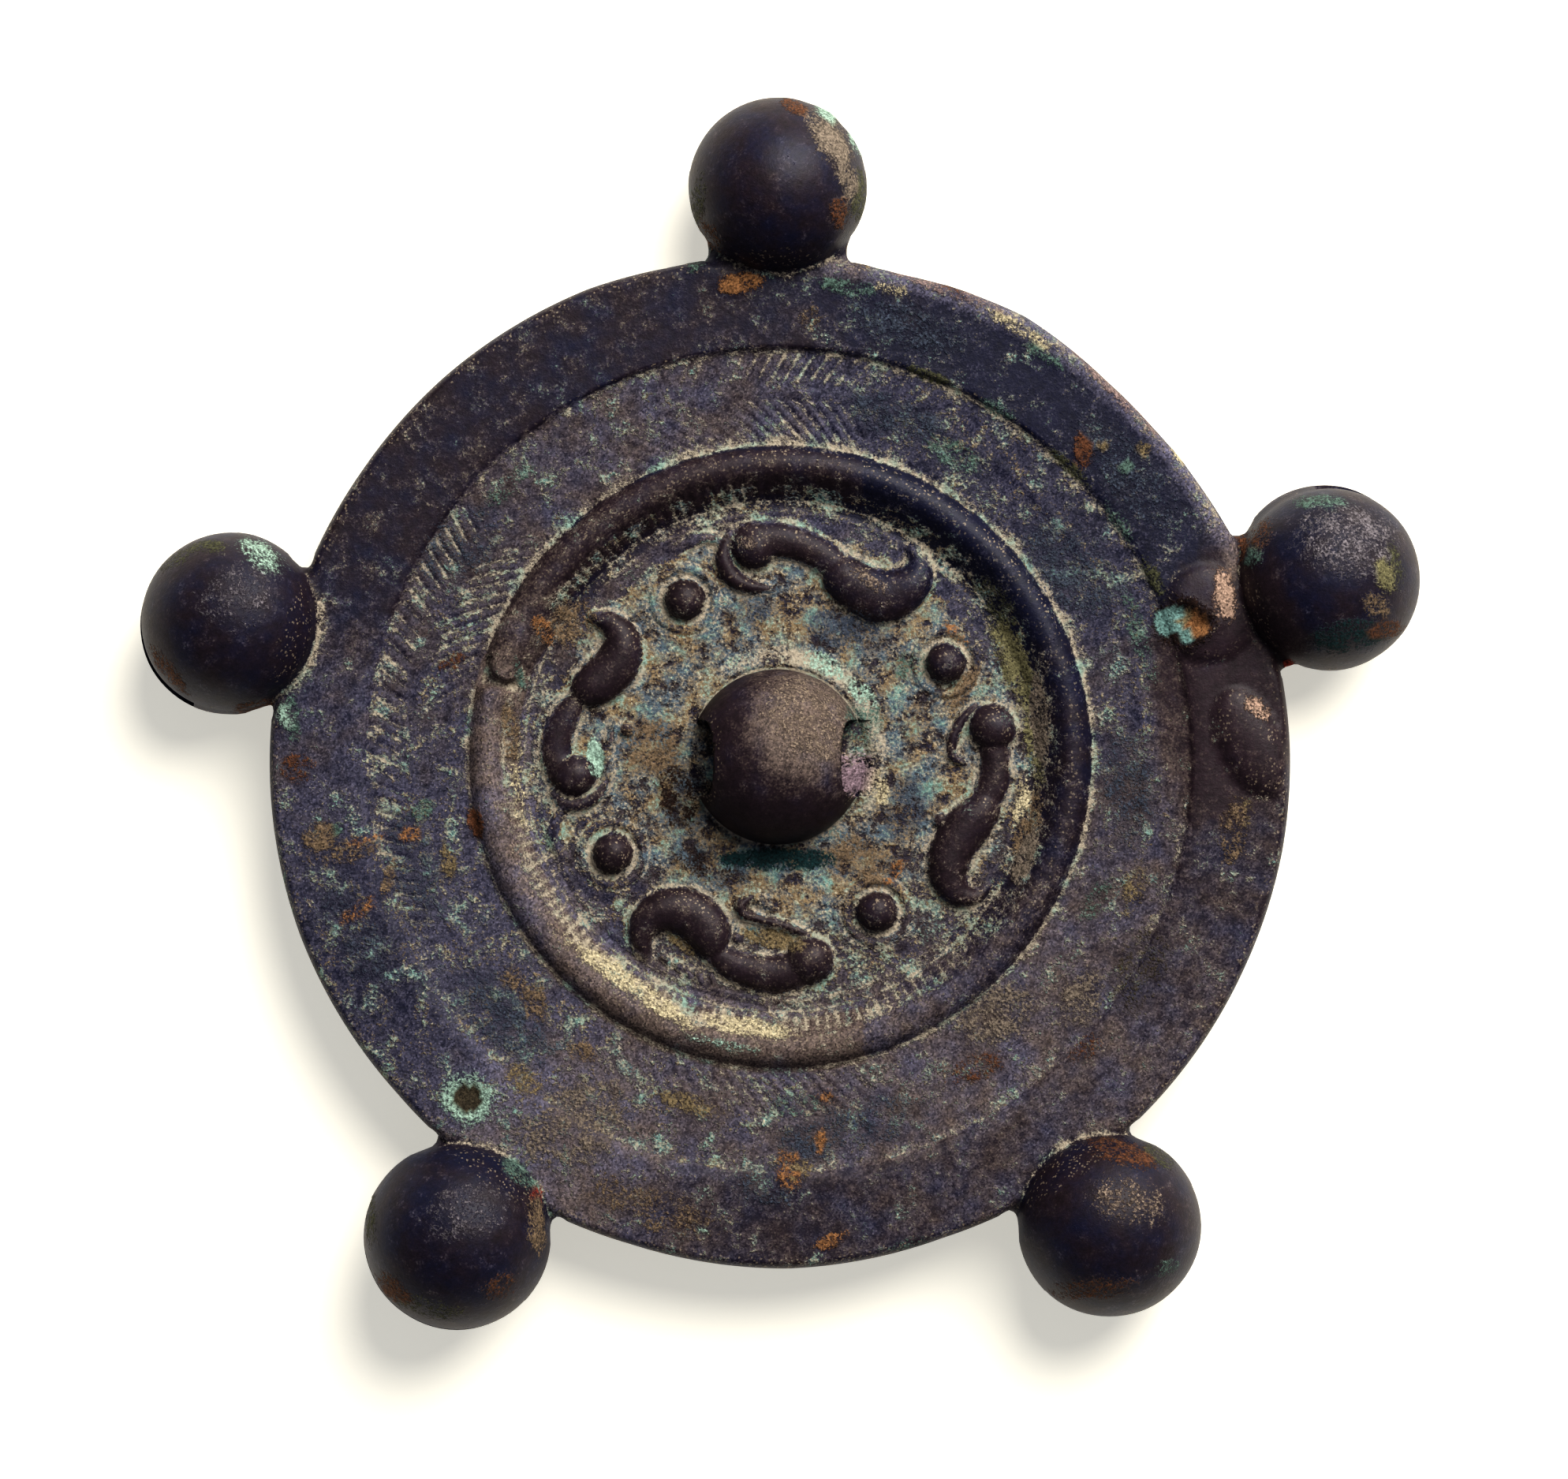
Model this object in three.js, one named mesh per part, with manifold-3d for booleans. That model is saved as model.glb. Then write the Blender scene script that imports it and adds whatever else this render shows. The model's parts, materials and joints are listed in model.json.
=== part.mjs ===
// Bronze mirror with five bells, cast in one piece: a round plate with a flat rim, a ring ridge, four
// coiled beasts between four nipples, a pierced knob, and five hollow slit bells round its edge.
// Millimetres, +Z up. The mirror lies on its bells with the polished face down and the relief up.
// The origin is on the surface it lies on, under the middle of the bells' outline.
import * as THREE from "three";
import { mergeVertices } from "three/addons/utils/BufferGeometryUtils.js";
import Module from "manifold-3d";

const wasm = await Module();
wasm.setup();

// Plate
const DISC_DIAMETER = 96;
const RIM_THICKNESS = 3.0;
const RIM_WIDTH = 9.2;
const RIM_ROUND = 0.9; // radius of the rim's worn edges
const RIM_STEP = 0.6; // drop from the rim's flat band to the comb-tooth zone
const RIM_STEP_RUN = 0.4; // how far that drop slopes
const ZONE_DIP = 0.5; // further fall of the comb-tooth zone towards the ring
const FACE_CROWN = 1.2; // bulge of the polished face
const FACE_FLAT_RADIUS = 6; // middle of the polished face, which is flat
const EDGE_WEAR = 0.6; // depth worn off the rim where it's flattest
const EDGE_WEAR_AT = 50; // degrees, middle of the worn stretch
const EDGE_WEAR_SPREAD = 24; // degrees

// Ring ridge round the inner field, and the knob
const RING_DIAMETER = 59.2; // outer foot of the ring
const RING_WIDTH = 5.2; // outer foot to inner foot
const RING_HEIGHT = 1.3; // crest over the comb-tooth zone
// The ring's section from its outer foot: inwards as a share of its width, up as a share of its height
const RING_SECTION = [[0, 0], [0.07, 0.65], [0.21, 1], [0.37, 1], [0.5, 0.65]];
const GROOVE_WIDTH = 0.7;
const GROOVE_DEPTH = 0.35;
const FIELD_THICKNESS = 1.9;
const KNOB_DIAMETER = 16.6;
const KNOB_HEIGHT = 7.7;
const DESIGN_SHIFT = 0.45; // the ring and knob sit this far off the disc's centre, along +Y
const PARTING_GAP = 0.3; // between the inner field and the plate round it, in the bottom of the groove

// Cord hole through the knob
const HOLE_WIDTH = 7.2;
const HOLE_HEIGHT = 5.2;
const HOLE_WALL_HEIGHT = 2.6; // upright part of its sides, below the arch

// Bells
const BELL_DIAMETER = 17.2;
const BELL_WALL = 1.4;
const SLIT_WIDTH = 1.8;
const SLIT_HALF_ANGLE = 80; // degrees each way from the bell's outermost point
const FOOT_DIAMETER = 2.6; // worn flat under each bell
const WEB_THICKNESS = 2.4; // web of metal in the corners between a bell and the rim
const WEB_DIAMETER = 13.6;
// angle is in degrees from +X, size is a share of BELL_DIAMETER, bite is how far the bell laps the rim
const BELLS = [
  { angle: 90.1, size: 0.98, bite: 2.15 },
  { angle: 18.3, size: 1.005, bite: 1.95 },
  { angle: -54.5, size: 1.01, bite: 2.95 },
  { angle: -124.1, size: 1.03, bite: 2.8 },
  { angle: 165.7, size: 0.985, bite: 3.1 },
];

// Relief of the inner field
const NIPPLE_DIAMETER = 3.9;
const NIPPLE_HEIGHT = 2.0;
const NIPPLE_RING_DIAMETER = 6.6;
const NIPPLE_RING_HEIGHT = 0.35;
const NIPPLE_CIRCLE = 0.6; // its radius, as a share of the ring's outer radius
const NIPPLE_ANGLES = [120, 30.6, -57.5, -151.3];
const BEAST_HEIGHT = 1.6;
const BURIED = 0.8; // how far relief reaches down into the plate
const ROOT_SINK = 0.15; // depth of its widest outline under the field, so that it rises steeply from it
// head is where a beast starts in degrees from +X, span stretches it round the field, and out moves it
// outwards in millimetres
const BEASTS = [
  { head: 97.4, span: 0.95, out: 0.35 },
  { head: 8.6, span: 0.98, out: 0.4 },
  { head: -81.4, span: 1.07, out: -0.5 },
  { head: -175.6, span: 0.97, out: 0 },
];
// A beast from head to tail tip: turn is degrees clockwise from its head, at is the distance from the
// centre and wide the half-width, both as shares of the ring's outer radius, high a share of BEAST_HEIGHT
const BEAST_BODY = [
  { turn: -4.5, at: 0.66, wide: 0.066, high: 0.85 },
  { turn: 0, at: 0.668, wide: 0.078, high: 1.05 },
  { turn: 6.5, at: 0.69, wide: 0.066, high: 0.8 },
  { turn: 14, at: 0.688, wide: 0.06, high: 0.78 },
  { turn: 22, at: 0.655, wide: 0.066, high: 0.85 },
  { turn: 30, at: 0.615, wide: 0.084, high: 1 },
  { turn: 37.5, at: 0.61, wide: 0.086, high: 1 },
  { turn: 43.5, at: 0.655, wide: 0.068, high: 0.8 },
  { turn: 45, at: 0.72, wide: 0.046, high: 0.6 },
  { turn: 42.5, at: 0.765, wide: 0.028, high: 0.35 },
];
const BEAST_LEG = [
  { turn: -4, at: 0.74, wide: 0.018, high: 0.25 },
  { turn: -8.5, at: 0.67, wide: 0.024, high: 0.4 },
  { turn: -7.5, at: 0.6, wide: 0.028, high: 0.5 },
  { turn: -4, at: 0.558, wide: 0.026, high: 0.45 },
  { turn: 2, at: 0.54, wide: 0.022, high: 0.4 },
  { turn: 10, at: 0.532, wide: 0.02, high: 0.35 },
  { turn: 17, at: 0.532, wide: 0.016, high: 0.25 },
];

// Lumps that the casting left on the rim: angle in degrees from +X, inset from the edge, half-sizes along and
// across, height over the rim, and lean in degrees
const CASTING_LUMPS = [
  { angle: 19, inset: 5.2, along: 4.4, across: 4.2, high: 0.45, lean: 0 },
  { angle: 2.3, inset: 3.5, along: 5.3, across: 2.7, high: 0.5, lean: 22 },
];

// Fineness of the facets
const PLATE_SIDES = 70;
const FACE_STEPS = 3;
const KNOB_SIDES = 32;
const KNOB_STEPS = 7;
const BELL_SIDES = 20;
const BELL_STEPS = 10; // from a bell's foot to its top
const CAVITY_SIDES = 12;
const CAVITY_STEPS = 5;
const STROKE_SIDES = 8;
const STROKE_STEPS = 11;
const STROKE_END = 0.1; // share of a stroke's length that each rounded end takes
const MERGE_TOLERANCE = 1e-4;

const discRadius = DISC_DIAMETER / 2;
const ringRadius = RING_DIAMETER / 2;
const fieldRadius = ringRadius - RING_WIDTH;
const knobRadius = KNOB_DIAMETER / 2;
const bellRadius = BELL_DIAMETER / 2;
const rimTop = centreHeight(bellRadius) + RIM_THICKNESS / 2;
const faceBottom = rimTop - RIM_THICKNESS - FACE_CROWN;
const fieldTop = faceBottom + FIELD_THICKNESS;
const radians = THREE.MathUtils.degToRad;

// Height of a bell's centre over what it lies on, with the worn foot under it.
function centreHeight(radius) {
  return Math.sqrt(radius ** 2 - (FOOT_DIAMETER / 2) ** 2);
}

// A point at an angle in degrees and a distance from the disc's centre.
function polar(angle, distance) {
  return new THREE.Vector2(Math.cos(radians(angle)), Math.sin(radians(angle))).multiplyScalar(distance);
}

// A closed three.js geometry as a solid that can be joined and cut.
function solidOf(geometry) {
  const bare = geometry.index ? geometry.toNonIndexed() : geometry.clone();
  bare.deleteAttribute("normal");
  bare.deleteAttribute("uv");
  const merged = mergeVertices(bare, MERGE_TOLERANCE);
  const corners = merged.index.array;
  const triVerts = [];
  for (let i = 0; i < corners.length; i += 3) {
    const [a, b, c] = corners.slice(i, i + 3);
    if (a !== b && b !== c && c !== a) triVerts.push(a, b, c);
  }
  const mesh = new wasm.Mesh({
    numProp: 3,
    vertProperties: merged.attributes.position.array,
    triVerts: Uint32Array.from(triVerts),
  });
  return new wasm.Manifold(mesh);
}

// The solid as a three.js geometry.
function geometryOf(solid) {
  const { vertProperties, triVerts, numProp, numVert } = solid.getMesh();
  const positions = new Float32Array(numVert * 3);
  for (let i = 0; i < numVert; i += 1) {
    positions.set(vertProperties.subarray(i * numProp, i * numProp + 3), i * 3);
  }
  const geometry = new THREE.BufferGeometry();
  geometry.setAttribute("position", new THREE.BufferAttribute(positions, 3));
  geometry.setIndex(new THREE.BufferAttribute(triVerts, 1));
  geometry.computeVertexNormals();
  return geometry;
}

// A body of revolution about Z from a profile of [radius, height] pairs that starts and ends on the axis.
function turned(profile, sides) {
  const points = profile.map(([radius, height]) => new THREE.Vector2(radius, height));
  return new THREE.LatheGeometry(points, sides).rotateX(Math.PI / 2);
}

// Points of an arc in the profile's plane, from one angle in degrees to another; rise stretches its height.
function arc([radius, height], size, from, to, steps, rise = size) {
  return Array.from({ length: steps + 1 }, (_, i) => {
    const a = radians(from + ((to - from) * i) / steps);
    return [radius + size * Math.cos(a), height + rise * Math.sin(a)];
  });
}

// Height of the polished face at a distance from the centre: flat in the middle, then a shallow dome.
function faceHeight(distance) {
  const reach = Math.max(distance - FACE_FLAT_RADIUS, 0) / (discRadius - FACE_FLAT_RADIUS);
  return faceBottom + FACE_CROWN * reach ** 2;
}

// The plate's section: the polished face from the middle out, the rim, then the relief back to the middle.
function plateProfile() {
  const bandInner = discRadius - RIM_WIDTH;
  const roundAt = discRadius - RIM_ROUND;
  const zoneEdge = rimTop - RIM_STEP;
  const zoneFoot = zoneEdge - ZONE_DIP;
  const face = Array.from({ length: FACE_STEPS }, (_, i) => {
    const distance = THREE.MathUtils.lerp(FACE_FLAT_RADIUS, roundAt, i / FACE_STEPS);
    return [distance, faceHeight(distance)];
  });
  return [
    [0, faceBottom],
    ...face,
    ...arc([roundAt, rimTop - RIM_THICKNESS + RIM_ROUND], RIM_ROUND, -80, 0, 2),
    ...arc([roundAt, rimTop - RIM_ROUND], RIM_ROUND, 20, 90, 2),
    [bandInner + RIM_STEP_RUN, rimTop],
    [bandInner, zoneEdge],
    ...RING_SECTION.map(([inwards, up]) => [
      ringRadius - inwards * RING_WIDTH,
      zoneFoot + up * RING_HEIGHT,
    ]),
    [fieldRadius, fieldTop],
    [fieldRadius - GROOVE_WIDTH / 2, fieldTop - GROOVE_DEPTH],
    [fieldRadius - GROOVE_WIDTH, fieldTop],
    [0, fieldTop],
  ];
}

// The plate: the rim follows its worn outline, and the ring and field sit a little off the disc's centre.
function makePlate() {
  const geometry = turned(plateProfile(), PLATE_SIDES);
  const positions = geometry.attributes.position;
  for (let i = 0; i < positions.count; i += 1) {
    const x = positions.getX(i);
    const y = positions.getY(i);
    const distance = Math.hypot(x, y);
    const onBack = positions.getZ(i) > faceHeight(distance) + MERGE_TOLERANCE;
    const inner = 1 - THREE.MathUtils.smoothstep(distance, ringRadius + 1, discRadius - RIM_WIDTH);
    const outer = THREE.MathUtils.smoothstep(distance, discRadius - RIM_WIDTH, discRadius - RIM_ROUND);
    const angle = THREE.MathUtils.radToDeg(Math.atan2(y, x));
    const worn = EDGE_WEAR * outer * Math.exp(-(((angle - EDGE_WEAR_AT) / EDGE_WEAR_SPREAD) ** 2));
    const scale = distance > 0 ? (distance - worn) / distance : 1;
    positions.setX(i, x * scale);
    positions.setY(i, y * scale + (onBack ? DESIGN_SHIFT * inner : 0));
  }
  return solidOf(geometry);
}

// The knob, which stands on the field.
function makeKnob() {
  const dome = arc([0, fieldTop], knobRadius, 0, 90, KNOB_STEPS, KNOB_HEIGHT);
  const knob = turned([[0, fieldTop], ...dome], KNOB_SIDES);
  return solidOf(knob.translate(0, DESIGN_SHIFT, 0)).subtract(makeCordHole());
}

// A round bar that reaches right through the plate, for parting it at the groove.
function makeCore(radius) {
  const core = turned([[0, 0], [radius, 0], [radius, 2 * rimTop], [0, 2 * rimTop]], PLATE_SIDES);
  return solidOf(core.translate(0, DESIGN_SHIFT, 0));
}

// A raised stroke: a capsule bent along a line of stations, with its upper half standing over the field.
function makeStroke(stations, { head, span, out }) {
  const places = stations.map(({ turn, at }) => {
    const p = polar(head - turn * span, at * ringRadius + out);
    return new THREE.Vector3(p.x, p.y, 0);
  });
  const line = new THREE.CatmullRomCurve3(places);
  const straight = 2 / STROKE_END - 2;
  const geometry = new THREE.CapsuleGeometry(1, straight, 2, STROKE_SIDES, STROKE_STEPS);
  const positions = geometry.attributes.position;
  const length = straight + 2;
  for (let i = 0; i < positions.count; i += 1) {
    const t = THREE.MathUtils.clamp((positions.getY(i) + length / 2) / length, 0, 1);
    const step = Math.min(Math.floor(t * (stations.length - 1)), stations.length - 2);
    const share = t * (stations.length - 1) - step;
    const wide = THREE.MathUtils.lerp(stations[step].wide, stations[step + 1].wide, share) * ringRadius;
    const high = THREE.MathUtils.lerp(stations[step].high, stations[step + 1].high, share) * BEAST_HEIGHT;
    const place = line.getPoint(t);
    const ahead = line.getTangent(t);
    const side = positions.getX(i) * wide;
    const up = positions.getZ(i);
    const lift = up > 0 ? up * (high + ROOT_SINK) : up * BURIED;
    positions.setXYZ(i, place.x + ahead.y * side, place.y - ahead.x * side, fieldTop - ROOT_SINK + lift);
  }
  return solidOf(geometry);
}

// A nipple and the low ring round it.
function makeNipple(angle) {
  const { x, y } = polar(angle, NIPPLE_CIRCLE * ringRadius);
  const dome = new THREE.SphereGeometry(1, 12, 8).rotateX(Math.PI / 2);
  dome.scale(NIPPLE_DIAMETER / 2, NIPPLE_DIAMETER / 2, NIPPLE_HEIGHT + ROOT_SINK);
  dome.translate(x, y, fieldTop - ROOT_SINK);
  const ring = new THREE.TorusGeometry(NIPPLE_RING_DIAMETER / 2, NIPPLE_RING_HEIGHT + ROOT_SINK, 6, 18);
  ring.translate(x, y, fieldTop - ROOT_SINK);
  return [trimmedBelow(solidOf(dome)), solidOf(ring)];
}

// The solid without what reaches deeper into the plate than relief does.
function trimmedBelow(solid) {
  const deep = new THREE.BoxGeometry(DISC_DIAMETER, DISC_DIAMETER, DISC_DIAMETER);
  deep.translate(0, 0, fieldTop - BURIED - DISC_DIAMETER / 2);
  return solid.subtract(solidOf(deep));
}

// A smooth lump left on the rim's flat band.
function makeLump({ angle, inset, along, across, high, lean }) {
  const { x, y } = polar(angle, discRadius - inset);
  const lump = new THREE.SphereGeometry(1, 12, 8).rotateX(Math.PI / 2);
  lump.scale(across, along, high + ROOT_SINK).rotateZ(radians(angle + lean));
  return solidOf(lump.translate(x, y, rimTop - ROOT_SINK));
}

// Where a bell sits and how big it is.
function bellPlace({ angle, size, bite }) {
  const radius = bellRadius * size;
  const { x, y } = polar(angle, discRadius + radius - bite);
  return { x, y, z: centreHeight(radius), radius, angle };
}

// A bell's outer ball with its worn foot, and the web that joins it to the rim.
function makeBall(bell) {
  const { x, y, z, radius, angle } = bellPlace(bell);
  const foot = THREE.MathUtils.radToDeg(Math.asin(FOOT_DIAMETER / 2 / radius));
  const ball = turned([[0, -z], ...arc([0, 0], radius, foot - 90, 90, BELL_STEPS)], BELL_SIDES);
  const web = new THREE.CylinderGeometry(WEB_DIAMETER / 2, WEB_DIAMETER / 2, WEB_THICKNESS, 24);
  const root = polar(angle, discRadius);
  web.rotateX(Math.PI / 2).translate(root.x, root.y, rimTop - RIM_THICKNESS / 2);
  return solidOf(ball.translate(x, y, z)).add(solidOf(web));
}

// A bell's hollow, with the slit that opens it outwards.
function makeHollow(bell) {
  const { x, y, z, radius, angle } = bellPlace(bell);
  const hollow = turned(arc([0, 0], radius - BELL_WALL, -90, 90, CAVITY_STEPS), CAVITY_SIDES);
  const start = radius * Math.cos(radians(SLIT_HALF_ANGLE));
  const slit = new THREE.BoxGeometry(radius, 3 * radius, SLIT_WIDTH).translate(start + radius / 2, 0, 0);
  const placed = [hollow, slit].map((shape) => solidOf(shape.rotateZ(radians(angle)).translate(x, y, z)));
  return placed[0].add(placed[1]);
}

// The cord hole: an arch drawn across the knob and run through it along X.
function makeCordHole() {
  const half = HOLE_WIDTH / 2;
  const outline = new THREE.Shape();
  outline.moveTo(-half, -BURIED);
  outline.lineTo(half, -BURIED);
  for (const [across, up] of arc([0, HOLE_WALL_HEIGHT], half, 0, 180, 8, HOLE_HEIGHT - HOLE_WALL_HEIGHT)) {
    outline.lineTo(across, up);
  }
  const bar = new THREE.ExtrudeGeometry(outline, { depth: 1.2 * KNOB_DIAMETER, bevelEnabled: false });
  bar.translate(0, 0, -0.6 * KNOB_DIAMETER).rotateX(Math.PI / 2).rotateZ(Math.PI / 2);
  return solidOf(bar.translate(0, DESIGN_SHIFT, fieldTop));
}

// The casting without its knob.
function makeMirror() {
  const balls = BELLS.map(makeBall);
  const hollows = BELLS.map(makeHollow);
  const relief = [
    ...NIPPLE_ANGLES.flatMap(makeNipple),
    ...BEASTS.map((beast) => makeStroke(BEAST_BODY, beast)),
    ...BEASTS.map((beast) => makeStroke(BEAST_LEG, beast)),
    ...CASTING_LUMPS.map(makeLump),
  ];
  const joined = [...balls, ...relief].reduce((whole, piece) => whole.add(piece), makePlate());
  return hollows.reduce((whole, cut) => whole.subtract(cut), joined);
}

// How far the middle of the outline lies from the disc's centre.
function outlineMiddle() {
  const places = BELLS.map(bellPlace);
  const middle = (axis) => {
    const low = Math.min(-discRadius, ...places.map((p) => p[axis] - p.radius));
    const high = Math.max(discRadius, ...places.map((p) => p[axis] + p.radius));
    return (low + high) / 2;
  };
  return new THREE.Vector3(middle("x"), middle("y"), 0);
}

const patinatedBronze = new THREE.MeshStandardMaterial({ color: 0x3b312f, roughness: 0.62, metalness: 0.55 });
const mirror = makeMirror();
const grooveRadius = fieldRadius - GROOVE_WIDTH / 2;

// One casting, parted where its collision has to leave the cord hole and the way to it open.
const bodies = {
  plate_with_bells: mirror.subtract(makeCore(grooveRadius + PARTING_GAP / 2)),
  inner_field: mirror.intersect(makeCore(grooveRadius - PARTING_GAP / 2)),
  knob: makeKnob(),
};

const group = new THREE.Group();
group.name = "bell_mirror";
for (const [name, body] of Object.entries(bodies)) {
  const mesh = new THREE.Mesh(geometryOf(body), patinatedBronze);
  mesh.name = name;
  group.add(mesh);
}
group.position.copy(outlineMiddle()).negate();

export default group;
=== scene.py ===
"""A cast bronze mirror with five bells round its rim, lying on the bells with its worked back up.

The whole mirror is one casting and one mesh. Its plate is spun in bands that get finer towards the
relief, the relief is raised on it, and the bells are joined on. Lengths are in millimetres about the
middle of the plate, X to the right and Y towards the top bell, until the last step turns the mesh to
metres in the part's frame.
"""

import json
import logging
import math
from dataclasses import dataclass, field
from enum import Enum

import bmesh
import bpy
import numpy as np
from mathutils import Matrix, Vector, noise


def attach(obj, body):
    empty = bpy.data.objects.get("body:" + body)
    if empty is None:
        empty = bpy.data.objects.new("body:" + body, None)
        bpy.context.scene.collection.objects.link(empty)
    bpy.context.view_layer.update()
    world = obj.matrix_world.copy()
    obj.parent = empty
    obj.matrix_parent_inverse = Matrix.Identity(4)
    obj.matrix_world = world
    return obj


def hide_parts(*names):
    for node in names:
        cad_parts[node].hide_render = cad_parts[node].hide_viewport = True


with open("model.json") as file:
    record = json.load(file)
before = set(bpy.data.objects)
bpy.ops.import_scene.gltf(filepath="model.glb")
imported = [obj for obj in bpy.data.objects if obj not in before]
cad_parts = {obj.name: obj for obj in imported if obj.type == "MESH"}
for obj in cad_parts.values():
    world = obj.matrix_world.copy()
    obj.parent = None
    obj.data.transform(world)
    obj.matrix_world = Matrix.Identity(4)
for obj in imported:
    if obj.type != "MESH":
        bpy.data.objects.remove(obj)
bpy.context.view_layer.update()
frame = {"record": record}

MM = 0.001
LOG = logging.getLogger("bell_mirror")
CASTING_NODES = ("plate_with_bells", "inner_field", "knob")

# Heights over the table
RIM_TOP = 10.0
FIELD_TOP = 7.7
FACE_BOTTOM = 5.8

# Radii of the plate's parts
PLATE_EDGE = 48.0
RIM_FROM = 39.0
COMB_FROM = 29.6
RING_FROM = 23.5
KNOB_TO = 8.4

SAME_POINT = 1e-3  # vertices closer than this are one

# A colour Mix node's inputs and settings, and the settings of a soft threshold
SHARE, UNDER, OVER = 0, 6, 7
COLOUR_MIX = {"out": 2, "data_type": "RGBA"}
SOFT = {"interpolation_type": "SMOOTHSTEP"}

Stations = tuple[tuple[float, float], ...]
Socket = bpy.types.NodeSocket


def linear(code: str) -> tuple[float, float, float]:
    """Turn an sRGB hex value into linear red, green and blue.

    Args:
        code: Six hex digits with a leading #.

    Returns:
        The three linear values from 0 to 1.
    """
    shares = (int(code[i:i + 2], 16) / 255 for i in (1, 3, 5))
    return tuple(s / 12.92 if s <= 0.04045 else ((s + 0.055) / 1.055) ** 2.4 for s in shares)


def mount_place(name: str) -> Vector:
    """Give the place of one of the record's mounts, in millimetres."""
    mount = next(m for m in frame["record"]["mounts"] if m["name"] == name)
    return Vector(mount["pos_m"]) / MM


def ease(values: np.ndarray, low: float, high: float) -> np.ndarray:
    """Rise smoothly from 0 at low to 1 at high."""
    share = np.clip((values - low) / (high - low), 0.0, 1.0)
    return share * share * (3 - 2 * share)


def round_the_plate(angles: np.ndarray, stations: Stations) -> np.ndarray:
    """Read a value that changes round the plate.

    Args:
        angles: Degrees anticlockwise from +X.
        stations: Pairs of an angle and the value there.

    Returns:
        The value at each angle.
    """
    at, value = np.array(stations).T
    return np.interp(angles, at, value, period=360)


def grit(places: np.ndarray, size: float, seed: int) -> np.ndarray:
    """Give smooth noise from about -1 to 1 whose lumps have a size in millimetres."""
    offset = np.array((17.3 * seed, 5.1 * seed, -9.7 * seed))
    return np.array([noise.noise(Vector(place)) for place in places / size + offset])


def coordinates(mesh: bpy.types.Mesh) -> np.ndarray:
    """Give a mesh's vertices as rows of X, Y and Z."""
    flat = np.zeros(len(mesh.vertices) * 3)
    mesh.vertices.foreach_get("co", flat)
    return flat.reshape(-1, 3)


def mesh_object(name: str, bm: bmesh.types.BMesh) -> bpy.types.Object:
    """Close a bmesh into an object with merged doubles and outward faces.

    Args:
        name: Name of the new object.
        bm: The bmesh, which is freed.

    Returns:
        The object, linked to the scene.
    """
    bmesh.ops.remove_doubles(bm, verts=bm.verts, dist=SAME_POINT)
    bmesh.ops.recalc_face_normals(bm, faces=bm.faces)
    mesh = bpy.data.meshes.new(name)
    bm.to_mesh(mesh)
    bm.free()
    piece = bpy.data.objects.new(name, mesh)
    bpy.context.scene.collection.objects.link(piece)
    return piece


def combine(piece: bpy.types.Object, tool: bpy.types.Object, operation: str) -> None:
    """Join another solid to a piece or cut it out, and remove the other solid.

    Args:
        piece: The solid that is kept.
        tool: The other solid.
        operation: UNION or DIFFERENCE.
    """
    cut = piece.modifiers.new(operation.lower(), "BOOLEAN")
    cut.operation = operation
    cut.solver = "MANIFOLD"
    cut.object = tool
    evaluated = piece.evaluated_get(bpy.context.evaluated_depsgraph_get())
    done = bpy.data.meshes.new_from_object(evaluated)
    piece.modifiers.clear()
    piece.data = done
    bpy.data.objects.remove(tool)


@dataclass(frozen=True)
class Band:
    """A ring of the plate that is meshed with the same number of columns all round."""

    columns: int
    profile: Stations

    def spin(self, bm: bmesh.types.BMesh, sectors: int) -> None:
        """Spin the profile's radius and height pairs round the Z axis, through one sector.

        Args:
            bm: The bmesh that the band is made in.
            sectors: How many sectors make the full turn.
        """
        line = [bm.verts.new((radius, 0.0, height)) for radius, height in self.profile]
        edges = [bm.edges.new(pair) for pair in zip(line, line[1:])]
        bmesh.ops.spin(
            bm, geom=line + edges, cent=(0, 0, 0), axis=(0, 0, 1), dvec=(0, 0, 0),
            angle=2 * math.pi / sectors, steps=self.columns // sectors,
        )

    def end(self, bm: bmesh.types.BMesh, which: int) -> list[bmesh.types.BMEdge]:
        """Give the loop of open edges at the first (0) or last (-1) station.

        Args:
            bm: The bmesh that holds the band.
            which: The station's number.

        Returns:
            The edges of the loop.
        """
        radius, height = self.profile[which]

        def on_station(vert: bmesh.types.BMVert) -> bool:
            """Tell whether a vertex lies at the station."""
            off = abs(math.hypot(vert.co.x, vert.co.y) - radius)
            return off < SAME_POINT and abs(vert.co.z - height) < SAME_POINT

        return [e for e in bm.edges if e.is_boundary and all(on_station(v) for v in e.verts)]


@dataclass
class CombBand:
    """A band of slanting comb teeth: dark bars with dirt packed between them."""

    inner: float
    outer: float
    teeth: int
    lean: float  # degrees of turn for each millimetre outwards
    depth: float
    wear: Stations  # angle, and how much of the depth is left there

    def turn(self, radius: np.ndarray) -> np.ndarray:
        """Give how far the teeth have turned at a radius, in degrees."""
        return self.lean * (np.clip(radius, self.inner, self.outer) - self.inner)

    def strength(self, radius: np.ndarray, angle: np.ndarray) -> np.ndarray:
        """Give how much is left of the teeth, from 0 to 1."""
        edges = ease(radius, self.inner, self.inner + 0.5) * (1 - ease(radius, self.outer - 0.4, self.outer))
        return edges * round_the_plate(angle, self.wear)

    def wave(self, column_angle: np.ndarray) -> np.ndarray:
        """Give the tooth's wave: 1 on a bar and -1 in the gap beside it."""
        return np.cos(np.radians(column_angle * self.teeth))


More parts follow.
